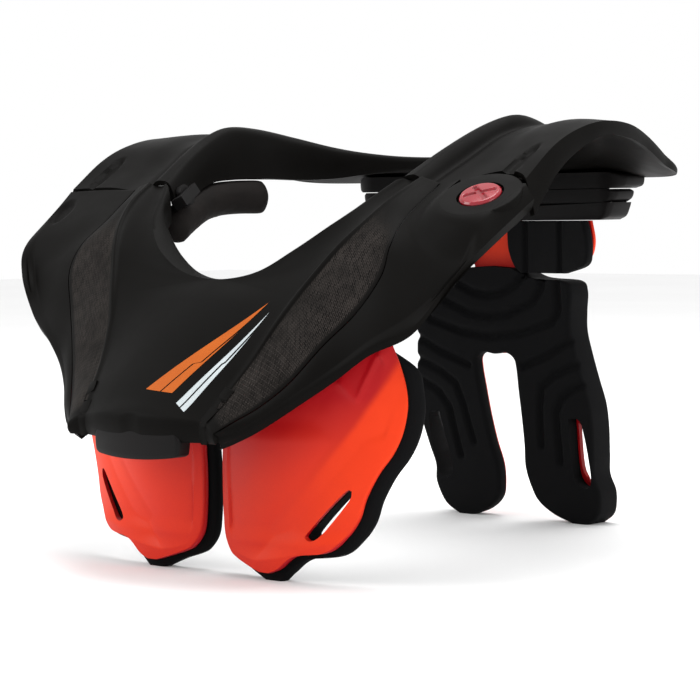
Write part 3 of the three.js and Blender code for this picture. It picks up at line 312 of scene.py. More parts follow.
# Dead black pads, and the greyer knit of the pads under the roof.
foam_black = moulded_foam("pressed_eva_foam", ("#070708", "#0c0c0d"))
roll_cloth = moulded_foam("brushed_knit_over_foam", ("#161413", "#1e1b1a"))
# The bright struts, the satin carrier and clip, and the one glossy piece.
strut_orange = moulded_orange("moulded_orange_polypropylene")
clip_black = plain_moulding("moulded_black_nylon", ("#0a0909", "#0f0d0d"), 0.45)
pin_red = plain_moulding("polished_red_acetal", ("#7c0c1a", "#8c1422"), 0.14, 300.0, 0.5)
# Thin pad-printed ink, flat on the cover.
print_orange = plain_moulding("orange_pad_print", ("#a04c14", "#aa5418"), 0.5)
print_pale = plain_moulding("pale_grey_pad_print", ("#a3abae", "#b0b7b9"), 0.5)


# ---- Shapes as arrays ----
def blend(padded, i, f):
    """Uniform Catmull-Rom: the four rows round span i, weighted with cubic polynomials of the share f."""
    a, b, c, d = (padded[i + k] for k in range(4))
    return 0.5 * (2 * b + (c - a) * f + (2 * a - 5 * b + 4 * c - d) * f**2 + (3 * b - a - 3 * c + d) * f**3)


def line_at(rows, t, size=SIZES):
    """Points of the Catmull-Rom curve through the rows, at even parameters t from 0 to 1. Past an end the
    curve goes straight on, or is mirrored where it meets x = 0."""
    points = np.asarray(rows, float) * size
    mirror = np.array([-1.0] + [1.0] * (points.shape[1] - 1))

    def beyond(end, other):
        return other * mirror if end[0] == 0 and other[0] > 0 and len(end) == 3 else 2 * end - other

    padded = np.vstack([beyond(points[0], points[1]), points, beyond(points[-1], points[-2])])
    s = np.clip(t, 0, 1) * (len(points) - 1)
    i = np.minimum(s.astype(int), len(points) - 2)
    return blend(padded, i, (s - i)[:, None])


def smooth(x):
    """Smooth step from 0 to 1: three times the square less twice the cube."""
    x = np.clip(x, 0, 1)
    return x * x * (3 - 2 * x)


def unit(v):
    """Vectors divided by their own lengths."""
    return v / np.maximum(np.linalg.norm(v, axis=-1, keepdims=True), 1e-9)


def lifted(grid, height):
    """The grid moved along its own normals, the cross product of its two sets of tangents."""
    normal = unit(np.cross(np.gradient(grid, axis=1), np.gradient(grid, axis=0)))
    return grid + normal * height[..., None]


def distance_to(points, line):
    """Distance of each point from an open line of straight spans, the least over its spans."""
    line = np.asarray(line, float)
    best = np.full(points.shape[:-1], 1e9)
    for a, b in zip(line[:-1], line[1:]):
        along = np.clip(((points - a) @ (b - a)) / ((b - a) @ (b - a)), 0, 1)
        best = np.minimum(best, np.linalg.norm(points - a - along[..., None] * (b - a), axis=-1))
    return best


def faces_of(rows, columns, start=0, round_columns=False):
    """Index quads of a grid, closed round its columns where asked."""
    ids = np.arange(rows * columns).reshape(rows, columns) + start
    right = np.roll(ids, -1, axis=1) if round_columns else ids[:, 1:]
    left = ids if round_columns else ids[:, :-1]
    return np.stack([left[:-1], right[:-1], right[1:], left[1:]], axis=-1).reshape(-1, 4)


def welded(patches):
    """Several grids as one set of points and quads; points at the same place become one."""
    starts = np.cumsum([0, *(patch[..., 0].size for patch in patches)])
    points = np.vstack([patch.reshape(-1, 3) for patch in patches])
    quads = np.vstack([faces_of(*patch.shape[:2], start) for patch, start in zip(patches, starts)])
    cells = np.round(points / WELD).astype(np.int64)
    _, first, back = np.unique(cells, axis=0, return_index=True, return_inverse=True)
    return points[first], back.reshape(-1)[quads], first


def mirrored(grid):
    """The grid on the other side, with its rows turned round so that it still faces outwards."""
    return (grid * np.array([-1.0, 1.0, 1.0]))[::-1]


def placed(name, data):
    """A new object with the given data, in the scene."""
    obj = bpy.data.objects.new(name, data)
    bpy.context.scene.collection.objects.link(obj)
    return obj


def make_mesh(name, points, quads, attributes=(), uv=None):
    """A mesh object from points in millimetres and quads that may have repeated corners."""
    faces = [list(dict.fromkeys(face)) for face in quads.tolist()]
    faces = [face for face in faces if len(face) > 2]
    mesh = bpy.data.meshes.new(name)
    mesh.from_pydata(((points + SHIFT) * MM).tolist(), [], faces)
    for key, values in dict(attributes).items():
        layer = mesh.attributes.new(key, "FLOAT", "POINT")
        layer.data.foreach_set("value", np.asarray(values, np.float32))
    if uv is not None:
        layer = mesh.uv_layers.new(name="weave")
        corner = np.zeros(len(mesh.loops), np.int32)
        mesh.loops.foreach_get("vertex_index", corner)
        layer.data.foreach_set("uv", np.asarray(uv, np.float32)[corner].reshape(-1))
    mesh.polygons.foreach_set("use_smooth", np.ones(len(mesh.polygons), bool))
    mesh.update()
    return placed(name, mesh)


def skin(name, *patches):
    """Several grids welded into one mesh object."""
    points, quads, _ = welded(patches)
    return make_mesh(name, points, quads)


def outfit(obj, material, body, slot, *nodes):
    """Gives a piece its material and its body, and hides the solids that it stands for; its slot is not used."""
    obj.data.materials.clear()
    obj.data.materials.append(material)
    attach(obj, body)
    if nodes:
        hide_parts(*nodes)
    return obj


def rounded(obj, radius, segments, angle):
    """Rounds the edges that are sharper than the angle."""
    edge = obj.modifiers.new("edge", "BEVEL")
    edge.width = radius * MM
    edge.segments = segments
    edge.limit_method = "ANGLE"
    edge.angle_limit = angle


def thickened(obj, wall, radius=0.7):
    """A wall behind the skin, with its edges rounded."""
    solid = obj.modifiers.new("wall", "SOLIDIFY")
    solid.thickness = wall * MM
    solid.offset = -1.0
    solid.use_even_offset = False
    if radius:
        rounded(obj, radius, 2, 1.0)
    return obj


def settled_mesh(obj):
    """Makes the object's modifiers part of its mesh."""
    graph = bpy.context.evaluated_depsgraph_get()
    graph.update()
    mesh = bpy.data.meshes.new_from_object(obj.evaluated_get(graph))
    old = obj.data
    obj.modifiers.clear()
    obj.data = mesh
    bpy.data.meshes.remove(old)
    mesh.polygons.foreach_set("use_smooth", np.ones(len(mesh.polygons), bool))
    mesh.set_sharp_from_angle(angle=CRISP_ANGLE)
    return obj


def outward(obj):
    """Turns every face of a closed mesh outwards."""
    work = bmesh.new()
    work.from_mesh(obj.data)
    bmesh.ops.remove_doubles(work, verts=work.verts, dist=2e-6)
    bmesh.ops.recalc_face_normals(work, faces=work.faces)
    work.to_mesh(obj.data)
    work.free()
    return obj


def prism(name, rings):
    """A closed bar between two equal rings of places in millimetres, with filled ends."""
    count = rings.shape[1]
    ends = [list(range(count))[::-1], list(range(count, 2 * count))]
    mesh = bpy.data.meshes.new(name)
    sides = faces_of(2, count, 0, True).tolist()
    mesh.from_pydata(((rings.reshape(-1, 3) + SHIFT) * MM).tolist(), [], sides + ends)
    return outward(placed(name, mesh))


def combined(obj, tool, operation="DIFFERENCE", solver="EXACT"):
    """A boolean between two closed meshes; the second one is used up."""
    cut = obj.modifiers.new("join", "BOOLEAN")
    cut.operation = operation
    cut.solver = solver
    cut.object = tool
    settled_mesh(obj)
    bpy.data.objects.remove(tool)
    return obj


def turned_over(obj, name):
    """The piece's mirror image on the other side of the brace."""
    other = obj.copy()
    other.data = obj.data.copy()
    other.name = name
    bpy.context.scene.collection.objects.link(other)
    other.data.transform(Matrix.Diagonal((-1, 1, 1, 1)))
    other.data.flip_normals()
    return other


def in_pairs(left, material, body, slot, node):
    """The left piece and its mirror image, dressed alike; each stands for the solid of its own side."""
    right = turned_over(left, left.name.replace("left", "right"))
    for side, obj in (("left", left), ("right", right)):
        outfit(obj, material, body, slot, f"{node}_{side}")


# ---- Front half ----
FRONT_ROWS = 220
front_t = np.linspace(0, 1, FRONT_ROWS)
front = {name: line_at(rows, front_t) for name, rows in FRONT_LINES.items() if len(rows) == 10}
SPINE_SHARE = 4 / 9
FRONT_FACING = np.array([0.0, -0.7, 0.7])
on_spine = front_t < SPINE_SHARE
neck = np.where(
    on_spine[:, None],
    line_at(FRONT_LINES["spine"], front_t / SPINE_SHARE),
    line_at(FRONT_LINES["neck"], (front_t - SPINE_SHARE) / (1 - SPINE_SHARE)),
)


def spans(a, b, shares, crown, direction=FRONT_FACING):
    """Straight lines from a to b at the given shares, bowed along a direction by a parabola."""
    s = shares[None, :, None]
    return a[:, None] * (1 - s) + b[:, None] * s + direction * crown * 4 * s * (1 - s)


def towards(a, b, distance):
    """Places moved from a straight towards b by a distance."""
    return a + unit(b - a) * distance


def denser_at_end(count):
    """Shares from 0 to 1 whose steps shrink to half: half the share plus half its quarter sine."""
    u = np.linspace(0, 1, count)
    return 0.5 * u + 0.5 * np.sin(u * np.pi / 2)


# Hood round the clip: an oval about the middle, [half width, height of its middle, half height, swell]
HOOD_WIDTH, HOOD_LOW, HOOD_TOP, HOOD_HEIGHT = 31.0, 70.0, 14.0, 2.8
BEAD_HEIGHT, BEAD_WIDTH = 1.0, 1.7
DROP_FOOT, DROP_BACK, DROP_BOW = 72.5, 1.5, 1.2
PANEL_HOLLOW = 2.0


def cover_relief(grid, ridge_line):
    """Height over the plain cover: a bead along the ridge line, and a hood that swells round the clip.
    Both fall off as exp(-(distance / width) squared)."""
    bead_distance = np.linalg.norm(grid - ridge_line[:, None], axis=-1)
    bead = BEAD_HEIGHT * np.exp(-((bead_distance / BEAD_WIDTH) ** 2))
    around = np.sqrt((grid[..., 0] / HOOD_WIDTH) ** 2 + ((grid[..., 2] - HOOD_LOW) / HOOD_TOP) ** 2)
    fall = np.exp(-((np.maximum(around - 1.02, 0) / 0.5) ** 2))
    return bead + HOOD_HEIGHT * smooth((around - 0.94) / 0.08) * fall


inner_seam = towards(front["seam"], front["ridge"], SEAM_GAP / 2)
# The centre panel is level where it crosses the middle: its height and depth go with a power of the share.
PANEL_COLUMNS, BAND_COLUMNS, BAND_START = 44, 30, 46
panel_shares = denser_at_end(PANEL_COLUMNS)[None, :, None]
level = 1 + smooth((0.62 - front_t) / 0.4)
share_power = panel_shares ** level[:, None, None]
way = (front["ridge"] - neck)[:, None]
panel_way = np.concatenate([panel_shares * way[..., :1], share_power * way[..., 1:]], axis=2)
hollow = -PANEL_HOLLOW * smooth((front_t - 0.35) / 0.3)[:, None, None]
panel_part = neck[:, None] + panel_way + FRONT_FACING * hollow * 4 * panel_shares * (1 - panel_shares)
band_part = spans(front["ridge"], inner_seam, 1 - denser_at_end(BAND_COLUMNS)[::-1], 1.0)
cover = np.concatenate([panel_part, band_part[:, 1:]], axis=1)
cover = lifted(cover, cover_relief(cover, front["ridge"]))
cover[on_spine, 0, 0] = 0
drop = np.linspace(1, 0, 9)[:-1, None, None]
drop_foot = cover[0] * np.array([1.0, 1.0, 0]) + np.array([0, DROP_BACK, DROP_FOOT])
front_drop = cover[0] * (1 - drop) + drop_foot * drop + np.array([0, -DROP_BOW, 0]) * 4 * drop * (1 - drop)
# The neck's rolled rim: a quadratic curve from the crest, round a corner above the lip, down to the lip
roll_t = front_t[~on_spine]
roll_s = (roll_t - SPINE_SHARE) / (1 - SPINE_SHARE)
crest = cover[~on_spine, 0]
lip = line_at(FRONT_LINES["lip"], roll_s)
corner = np.stack([lip[:, 0], lip[:, 1], crest[:, 2]], axis=1)
s = np.linspace(1, 0, 10)[None, :, None]
roll = (crest[:, None] * (1 - s) + corner[:, None] * s) * (1 - s)
roll = roll + (corner[:, None] * (1 - s) + lip[:, None] * s) * s

patches = [np.concatenate([front_drop, cover]), roll]
band_share = np.zeros(cover.shape[:2])
band_share[:, BAND_START + 1:-2] = 1
band_share *= (smooth((front_t - 0.03) / 0.05) * smooth((0.86 - front_t) / 0.12))[:, None]
run = np.concatenate([[0], np.cumsum(np.linalg.norm(np.diff(front["seam"], axis=0), axis=1))])
steps = np.linalg.norm(np.diff(cover, axis=1), axis=-1)
reach = np.concatenate([np.zeros((FRONT_ROWS, 1)), np.cumsum(steps, axis=1)], axis=1)
at_ridge = reach[:, PANEL_COLUMNS - 1:PANEL_COLUMNS]
cover_uv = np.stack([np.broadcast_to(run[:, None], reach.shape), reach - at_ridge], axis=-1)
band_share = np.concatenate([np.zeros((len(front_drop), band_share.shape[1])), band_share])
cover_uv = np.concatenate([np.zeros((len(front_drop), *cover_uv.shape[1:])), cover_uv])


def both_sides(patches, layers):
    """The patches and their mirror images, welded, with each layer's values carried along."""
    points, quads, first = welded([*patches, *[mirrored(p) for p in patches]])
    values = [np.concatenate([v.reshape(-1, *v.shape[2:]) for v in (*layer, *(v[::-1] for v in layer))])[first]
              for layer in layers]
    return points, quads, values


zero_roll, zero_uv = np.zeros(roll.shape[:2]), np.zeros((*roll.shape[:2], 2))
points, quads, (band_value, uv_value) = both_sides(patches, [[band_share, zero_roll], [cover_uv, zero_uv]])
front_cover = make_mesh("front_cover", points, quads, {"band": band_value}, uv_value)
thickened(front_cover, SHELL_WALL)
outfit(front_cover, shell_woven, "front_half", "shell", "front_table")


# Printed stripes on the cover: [across, up] of the tip and of the two ends of the base
STRIPES = {
    "orange_stripe": (print_orange, [48.9, 140.0], [1.1, 97.0], [18.6, 95.7], 0.3, 0.58, 0.85),
    "pale_stripe": (print_pale, [53.0, 137.2], [23.7, 91.2], [30.4, 87.2], 0.42, 0.5, 0.66),
}
PRINT_LIFT, PRINT_LINE = 0.15, 0.45


def printed(name, material, tip, left, right, step_at, before, after):
    """A long triangle laid on the cover, split lengthwise by a thin line that steps sideways once.
    The line's share of the width goes from one value to the other at the step, and to 1 at the tip."""
    graph = bpy.context.evaluated_depsgraph_get()
    tree = BVHTree.FromObject(front_cover, graph)
    t = np.linspace(0, 0.995, 120)
    tip, left, right = (np.array(p, float) for p in (tip, left, right))
    a = left + (tip - left) * t[:, None]
    b = right + (tip - right) * t[:, None]
    width = np.maximum(np.linalg.norm(b - a, axis=1), 1e-3)
    split = before + (after - before) * smooth((t - step_at) / 0.03)
    split = split + (1 - split) * smooth((t - step_at - 0.1) / 0.5)
    half = PRINT_LINE / width
    bounds = ((0 * t, np.clip(split - half, 0, 1)), (np.clip(split + half, 0, 1), 1 + 0 * t))
    for part, (low, high) in enumerate(bounds):
        share = low[:, None] + np.maximum(high - low, 0)[:, None] * np.linspace(0, 1, 12)[None]
        spots = a[:, None] + (b - a)[:, None] * share[..., None]
        places = []
        for x, z in spots.reshape(-1, 2):
            hit, normal = tree.ray_cast(((x * MM), -0.4, z * MM), (0, 1, 0))[:2]
            places.append(np.array(hit + normal * PRINT_LIFT * MM) / MM - SHIFT)
        stripe = skin(f"{name}_{part}", np.array(places).reshape(*share.shape, 3))
        outfit(stripe, material, "front_half", "shell")


for name, spec in STRIPES.items():
    printed(name, *spec)

# Side panels
outer_seam = towards(front["seam"], front["edge"], SEAM_GAP / 2)
hem = front["rim"] + np.array([-HEM_INSET, HEM_INSET / 2, 0])
hem = hem - np.outer(HEM_DEPTH * (0.5 + 0.5 * front_t), [0, 0, 1])
pin_across = unit(np.array([1.0, 0, 0]) - PIN_AXIS * PIN_AXIS[0])
pin_back = np.cross(PIN_AXIS, pin_across)


def on_pin(across, back, rise):
    """Places given across, behind and above the pin's middle, in its own tilted plane."""
    sideways = PIN_PLACE + np.multiply.outer(across, pin_across) + np.multiply.outer(back, pin_back)
    return sideways + np.multiply.outer(np.broadcast_to(rise, np.shape(across)), PIN_AXIS)


def pressed(grid, centre, axis, along, length, width, depth, wall=0.18):
    """Presses an oval hollow with steep sides into a grid, against the given axis."""
    side = unit(np.cross(axis, along))
    forward = np.cross(side, axis)
    away = grid - centre
    oval = np.sqrt((away @ forward / (length / 2)) ** 2 + (away @ side / (width / 2)) ** 2)
    near = np.abs(away @ axis) < 12
    return grid - axis * (depth * smooth((1 - oval) / wall) * near)[..., None]


ALONG_ARM = unit(np.array([0.1, 0.84, 0.54]))
RIM_FACING = np.array([0.5, -0.6, -0.3])
OTHER = np.array([-1.0, 1.0, 1.0])
panel_shares_side = np.linspace(0, 1, 40)
hem_side = spans(front["rim"], hem, np.linspace(0, 1, 4), 0)
right_top = spans(outer_seam, front["edge"], panel_shares_side, 0.6) * OTHER
right_top = pressed(right_top, THUMB_PLACE, PIN_AXIS * OTHER, ALONG_ARM * OTHER, 22, 14, 1.8, 0.3)
edge_side = spans(front["edge"], front["rim"], np.linspace(0, 1, 7), 0.8, RIM_FACING) * OTHER
right_panel = skin("side_panel_right_skin", right_top[::-1], edge_side[::-1], (hem_side * OTHER)[::-1])
thickened(right_panel, SHELL_WALL)
outfit(right_panel, shell_black, "front_half", "shell", "side_panel_right")

# The left panel: flattened round the pin, cut away behind it, and joined to the round eye.
left_top = spans(outer_seam, front["edge"], panel_shares_side, 0.6)
from_pin = np.linalg.norm(np.cross(left_top - PIN_PLACE, PIN_AXIS), axis=-1)
off_plane = (left_top - on_pin(0.0, 0.0, EYE_PROUD)) @ PIN_AXIS
flat = (1 - smooth((from_pin - EYE_FLAT) / EYE_FLAT)) * smooth(panel_shares_side / 0.3)[None]
left_top = left_top - PIN_AXIS * (off_plane * flat)[..., None]
left_edge = spans(left_top[:, -1], front["rim"], np.linspace(0, 1, 9), 0.8, RIM_FACING)
left_panel = skin("side_panel_left_skin", left_top, left_edge, hem_side)
thickened(left_panel, SHELL_WALL, 0)
settled_mesh(left_panel)


def on_pin_prism(name, outline, low, high, radius=0.0):
    """An outline of [across, back] in the pin's plane, carried from one rise to another."""
    outline = np.asarray(outline, float)
    obj = prism(name, np.stack([on_pin(outline[:, 0], outline[:, 1], rise) for rise in (low, high)]))
    if radius:
        rounded(obj, radius, 3, 0.8)
        settled_mesh(obj)
    return obj


def ring_of(radius, count=96):
    """Places on a circle: radius times the cosine and the sine of even turns."""
    turn = np.linspace(0, 2 * np.pi, count, endpoint=False)
    return np.stack([radius * np.cos(turn), radius * np.sin(turn)], axis=1)


def bored(obj):
    """Cuts the pin's bore."""
    return combined(obj, on_pin_prism("bore_tool", ring_of(BORE_RADIUS, 48), -3 * R, R))


R = EYE_RADIUS
behind = np.array([[-R, 0], [0, 0], [R, -R], [3 * R, -R], [3 * R, 3 * R], [-R, 3 * R]])
EYE_FOOT = EYE_PROUD - EYE_THICKNESS
relief_tool = on_pin_prism("relief_tool", behind, -2.5 * R, R)
keep_disc = on_pin_prism("keep_tool", ring_of(R - 0.15), EYE_FOOT + 0.1, 2 * R)
combined(relief_tool, keep_disc)
combined(left_panel, relief_tool)
combined(left_panel, on_pin_prism("eye_tool", ring_of(R), EYE_FOOT, EYE_PROUD - 0.04, 1.0), "UNION")
combined(left_panel, on_pin_prism("seat_tool", ring_of(CAP_RADIUS + CAP_GAP), SEAT_FOOT, 2 * R))
bored(left_panel)
outfit(left_panel, shell_black, "front_half", "shell", "side_panel_left")

# Release pin: a domed cap with a crossed slot, cut as a height over polar rings
ring, turn = np.meshgrid(np.linspace(0, 1, 40), np.linspace(0, 2 * np.pi, 97), indexing="ij")
radius = CAP_RADIUS * ring
flat_x, flat_y = radius * np.cos(turn), radius * np.sin(turn)
dome = EYE_PROUD + CAP_PROUD + CAP_DOME * (1 - ring**2) - CAP_EDGE * smooth((ring - 0.9) / 0.1)
slots = np.zeros_like(dome)
for angle in (np.pi / 5, 4 * np.pi / 5):
    sideways = np.abs(-np.sin(angle) * flat_x + np.cos(angle) * flat_y)
    near = smooth((CAP_SLOT_REACH * CAP_RADIUS - radius) / 0.6)
    slots = np.maximum(slots, smooth((CAP_SLOT_HALF - sideways) / 0.35) * near)
cap_top = on_pin(flat_x, flat_y, dome - CAP_SLOT_DEPTH * slots)
profile = np.array([
    [CAP_RADIUS, 0.5], [CAP_RADIUS, CAP_FOOT], [SHANK, CAP_FOOT], [SHANK, NUT_TOP], [NUT, NUT_TOP],
    [NUT, NUT_FOOT], [0.0, NUT_FOOT],
])
shank_turn = turn[0]
shank = on_pin(np.outer(profile[:, 0], np.cos(shank_turn)), np.outer(profile[:, 0], np.sin(shank_turn)),
               np.broadcast_to(profile[:, 1:], (len(profile), len(shank_turn))))
outfit(skin("pin_cap", cap_top, shank), pin_red, "pin", "pin", "release_pin")

# ---- Rear half ----
REAR_ROWS = 150
rear_t = np.linspace(0, 1, REAR_ROWS)
rear = {name: line_at(rows, rear_t) for name, rows in REAR_LINES.items()}
top_lines = np.stack([rear[name] for name in ("wall", "crown", "channel", "hump", "side")])
share = np.linspace(0, 1, 90)


def across_lines(lines, share):
    """A smooth surface over a family of lines: a Catmull-Rom curve through them at each station."""
    count = len(lines)
    padded = np.concatenate([2 * lines[:1] - lines[1:2], lines, 2 * lines[-1:] - lines[-2:-1]])
    s = share * (count - 1)
    i = np.minimum(s.astype(int), count - 2)
    return np.swapaxes(blend(padded, i, (s - i)[:, None, None]), 0, 1)


roof = across_lines(top_lines, share)
arm_share = smooth((0.75 - rear_t) / 0.35)[:, None]
# A channel along the arm, deepest at one share across, and a low swell beside it: (depth, share, width)
CHANNEL, SWELL = (2.6, 0.42, 0.035), (0.8, 0.33, 0.03)
channel_depth, swell_height = (d * np.exp(-(((share - at) / wide) ** 2)) for d, at, wide in (CHANNEL, SWELL))
roof = lifted(roof, (swell_height - channel_depth)[None] * arm_share)
roof = pressed(roof, LEAF_PLACE, unit(np.array([0.05, -0.54, 1.0])), ALONG_ARM, 38, 9, 2.0, 0.35)
skirt = spans(rear["side"], rear["skirt"], np.linspace(0, 1, 8), 0.6, np.array([0.8, 0.3, 0.3]))
skirt[:, 0] = roof[:, -1]
points, quads, _ = both_sides([roof, skirt], [])
rear_roof = make_mesh("rear_roof", points, quads)
thickened(rear_roof, SHELL_WALL, 0)
outward(settled_mesh(rear_roof))
TONGUE_TOP = EYE_FOOT - POCKET_DROP
pocket = on_pin_prism("pocket_tool", ring_of(R + POCKET_GAP), TONGUE_TOP, 2 * R)
combined(rear_roof, pocket, "DIFFERENCE", "FAST")
outfit(rear_roof, shell_black, "rear_half", "shell", "rear_table")

SLOT_ENDS = (-200.0, 260.0)
TONGUE_RADIUS, TONGUE_REACH, TONGUE_THICKNESS = 17.0, 34.0, 5.0
half_turn = np.linspace(-np.pi, 0, 40)
tongue_outline = np.concatenate([
    TONGUE_RADIUS * np.stack([np.cos(half_turn), np.sin(half_turn)], axis=1),
    [[TONGUE_RADIUS - 3, TONGUE_REACH], [-TONGUE_RADIUS, TONGUE_REACH]],
])
tongue = on_pin_prism("hinge_tongue", tongue_outline, TONGUE_TOP - TONGUE_THICKNESS, TONGUE_TOP)
outfit(bored(tongue), shell_black, "rear_half", "shell")


def plate_of(rows, face, thickness, radius, stations=120, columns=90, relief=None, size=(HALF_WIDTH, HEIGHT)):
    """A plate as a loft of rounded sections. Each station of the outline has a line across from its inner
    to its outer side; the section goes along it on the front face, round a corner arc, down the side and
    back on the rear face. The ends close with the same radius."""
    scale = np.array([size[0], size[1], size[0], size[1]])
    v = np.linspace(0, 1, stations)
    table = line_at(rows, v, scale)
    arcs = np.linspace(0, np.pi / 2, 5)
    lead_in = 1 - np.cos(arcs[::-1])
    inset = np.concatenate([lead_in, np.zeros(stations - 2), lead_in[::-1]]) * radius
    order = np.concatenate([np.zeros(5, int), np.arange(1, stations - 1), np.full(5, stations - 1)])
    table = table[order]
    inner, outer = table[:, :2], table[:, 2:]
    width = np.linalg.norm(outer - inner, axis=1)
    small = np.minimum(radius, width / 2 - 0.05)
    flat_e = small[:, None] + (width - 2 * small)[:, None] * np.linspace(0, 1, columns)
    flat_d = np.zeros_like(flat_e)
    turn_e = width[:, None] - small[:, None] * (1 - np.sin(arcs))[None]
    turn_d = small[:, None] * (1 - np.cos(arcs))[None]
    e = np.concatenate([flat_e[:, :-1], turn_e, turn_e[:, ::-1], flat_e[:, ::-1][:, 1:-1],
                        width[:, None] - turn_e, width[:, None] - turn_e[:, ::-1][:, :-1]], axis=1)
    front_d = np.concatenate([flat_d[:, :-1], turn_d], axis=1)
    side = np.concatenate([np.zeros(front_d.shape[1]), np.ones(columns + 8), np.zeros(4)]).astype(bool)
    d_low = np.concatenate([front_d, turn_d[:, ::-1], flat_d[:, 1:-1], turn_d, turn_d[:, ::-1][:, :-1]], axis=1)
    x_z = inner[:, None] + (outer - inner)[:, None] * (e / width[:, None])[..., None]
    thick = thickness(e / width[:, None], x_z)
    d = np.where(side[None], thick - d_low, d_low)
    d = np.clip(d, inset[:, None], thick - inset[:, None])
    y = face(x_z[..., 0], x_z[..., 1]) + d
    if relief is not None:
        y = y + relief(x_z[..., 0], x_z[..., 1], e, width[:, None]) * np.clip(1 - 2 * d / thick, 0, 1)
    return np.stack([x_z[..., 0], y, x_z[..., 1]], axis=-1)


def plate_mesh(name, grid):
    """The lofted plate as a closed mesh; each end is filled between its front and back."""
    rows, columns = grid.shape[:2]
    ends = []
    for start in (0, (rows - 1) * columns):
        ids = np.arange(columns) + start
        half = columns // 2
        front_ids, back_ids = ids[:half], ids[::-1][:half]
        strip = np.stack([front_ids[:-1], front_ids[1:], back_ids[1:], back_ids[:-1]], axis=-1)
        ends.append(strip if start else strip[:, ::-1])
    sides = faces_of(rows, columns, 0, True)
    return outward(make_mesh(name, grid.reshape(-1, 3), np.vstack([sides, *ends])))


def with_slot(obj, corners, margin):
    """Cuts a slot clean through: a smooth loop through its corners, each moved out from their middle."""
    corners = np.asarray(corners) * ACROSS_UP
    grown = corners + unit(corners - corners.mean(axis=0)) * margin
    shares = np.linspace(0, 1, 6 * len(grown) + 1)
    loop = line_at(np.vstack([grown, grown[:1]]), shares, np.ones(2))[:-1]
    rings = np.stack([np.column_stack([loop[:, 0], np.full(len(loop), y), loop[:, 1]]) for y in SLOT_ENDS])
    return combined(obj, prism("slot_tool", rings))


def whole(obj):
    """Cuts a half at the middle plane and joins it to its mirror image."""
    work = bmesh.new()
    work.from_mesh(obj.data)
    bmesh.ops.bisect_plane(work, geom=[*work.verts, *work.edges, *work.faces], plane_co=(0, 0, 0),
                           plane_no=(1, 0, 0), dist=1e-6, clear_inner=True)
    copy = bmesh.ops.duplicate(work, geom=[*work.verts, *work.edges, *work.faces])["geom"]
    verts = [v for v in copy if isinstance(v, bmesh.types.BMVert)]
    bmesh.ops.scale(work, vec=(-1, 1, 1), verts=verts)
    bmesh.ops.reverse_faces(work, faces=[f for f in copy if isinstance(f, bmesh.types.BMFace)])
    bmesh.ops.remove_doubles(work, verts=work.verts, dist=1e-5)
    work.to_mesh(obj.data)
    work.free()
    obj.data.set_sharp_from_angle(angle=CRISP_ANGLE)
    return obj


def past_middle(rows, reach=4.0 / HALF_WIDTH):
    """The same rows, with those that start on the middle plane taken past it."""
    rows = np.array(rows, float)
    rows[:, 0] = np.where(rows[:, 0] == 0, -reach, rows[:, 0])
    return rows


def chest_face(x, z):
    """An arc round the chest: nearest the front at 42 mm from the middle, then falling back with its square."""
    return -0.68 * HALF_DEPTH + 0.756 * HALF_DEPTH * ((np.abs(x) - 0.253 * HALF_WIDTH) / HALF_WIDTH) ** 2


# The fold of a chest strut and the raised fin at its top: [across, up] in millimetres
FIN = np.array([[101, 113], [91, 91], [84, 100]], float)
CREASE = np.array([[33, 10], [68, 48], [93, 79], [108, 102], [120, 125]], float)


FOLD_DEPTH, FOLD_WIDTH, BORDER_DEPTH, OUTER_DEPTH, FIN_HEIGHT, FIN_WIDTH = 3.0, 20.0, 1.6, 1.3, 1.6, 2.2
RELIEF_LEVEL, RELIEF_LOW, RELIEF_HIGH = 1.8, -1.0, 1.9


def even(wall):
    """The same thickness all over a plate."""
    return lambda s, xz: np.full(s.shape, wall)


def strut_relief(x, z, e, width):
    """Depth pressed into a strut: a valley that falls off as exp(-distance / width) from the crease, and the
    middle set back from a strip along each edge, less the fin; all kept within the wall."""
    crease_x = np.interp(z, CREASE[:, 1], CREASE[:, 0])
    valley = FOLD_DEPTH * np.exp(-np.abs(x - crease_x) / FOLD_WIDTH) * smooth((z - 6) / 12)
    border = BORDER_DEPTH * smooth((e - 5.5) / 1.2) * smooth((z - 18) / 10)
    outer = OUTER_DEPTH * smooth((width - e - 6.5) / 1.5) * smooth((z - 70) / 12)
    from_fin = distance_to(np.stack([x, z], axis=-1), FIN)
    fin = FIN_HEIGHT * np.minimum(1, np.exp(-from_fin / FIN_WIDTH) * 1.2)
    return np.clip(valley + border + outer - fin - RELIEF_LEVEL, RELIEF_LOW, RELIEF_HIGH)


def strut_shade(x, z):
    """Painted crimson shade, 0 to 0.9: smooth steps past the crease and with the height, more at the inner top.
    """
    past = np.interp(z, CREASE[:, 1], CREASE[:, 0]) - x
    above = smooth(past / 5) * (0.1 + 0.75 * smooth((z - 40) / 60))
    deep = 0.35 * smooth((z - 85) / 25)
    return np.clip(above + deep * smooth((104 - x) / 10), 0, 0.9)


def with_painted_shade(obj, shade):
    """Keeps a painted shade value per point, worked out from its place across and up, for the material."""
    places = np.zeros(3 * len(obj.data.vertices))
    obj.data.vertices.foreach_get("co", places)
    places = places.reshape(-1, 3) / MM - SHIFT
    layer = obj.data.attributes.new("shade", "FLOAT", "POINT")
    layer.data.foreach_set("value", shade(np.abs(places[:, 0]), places[:, 2]).astype(np.float32))
    return obj


def chest_strut(name):
    """The orange plate with its relief, its slot and its painted crimson shade."""
    grid = plate_of(CHEST_STRUT, chest_face, even(STRUT_WALL), 1.1, relief=strut_relief)
    return with_painted_shade(with_slot(plate_mesh(name, grid), CHEST_SLOT, 0), strut_shade)


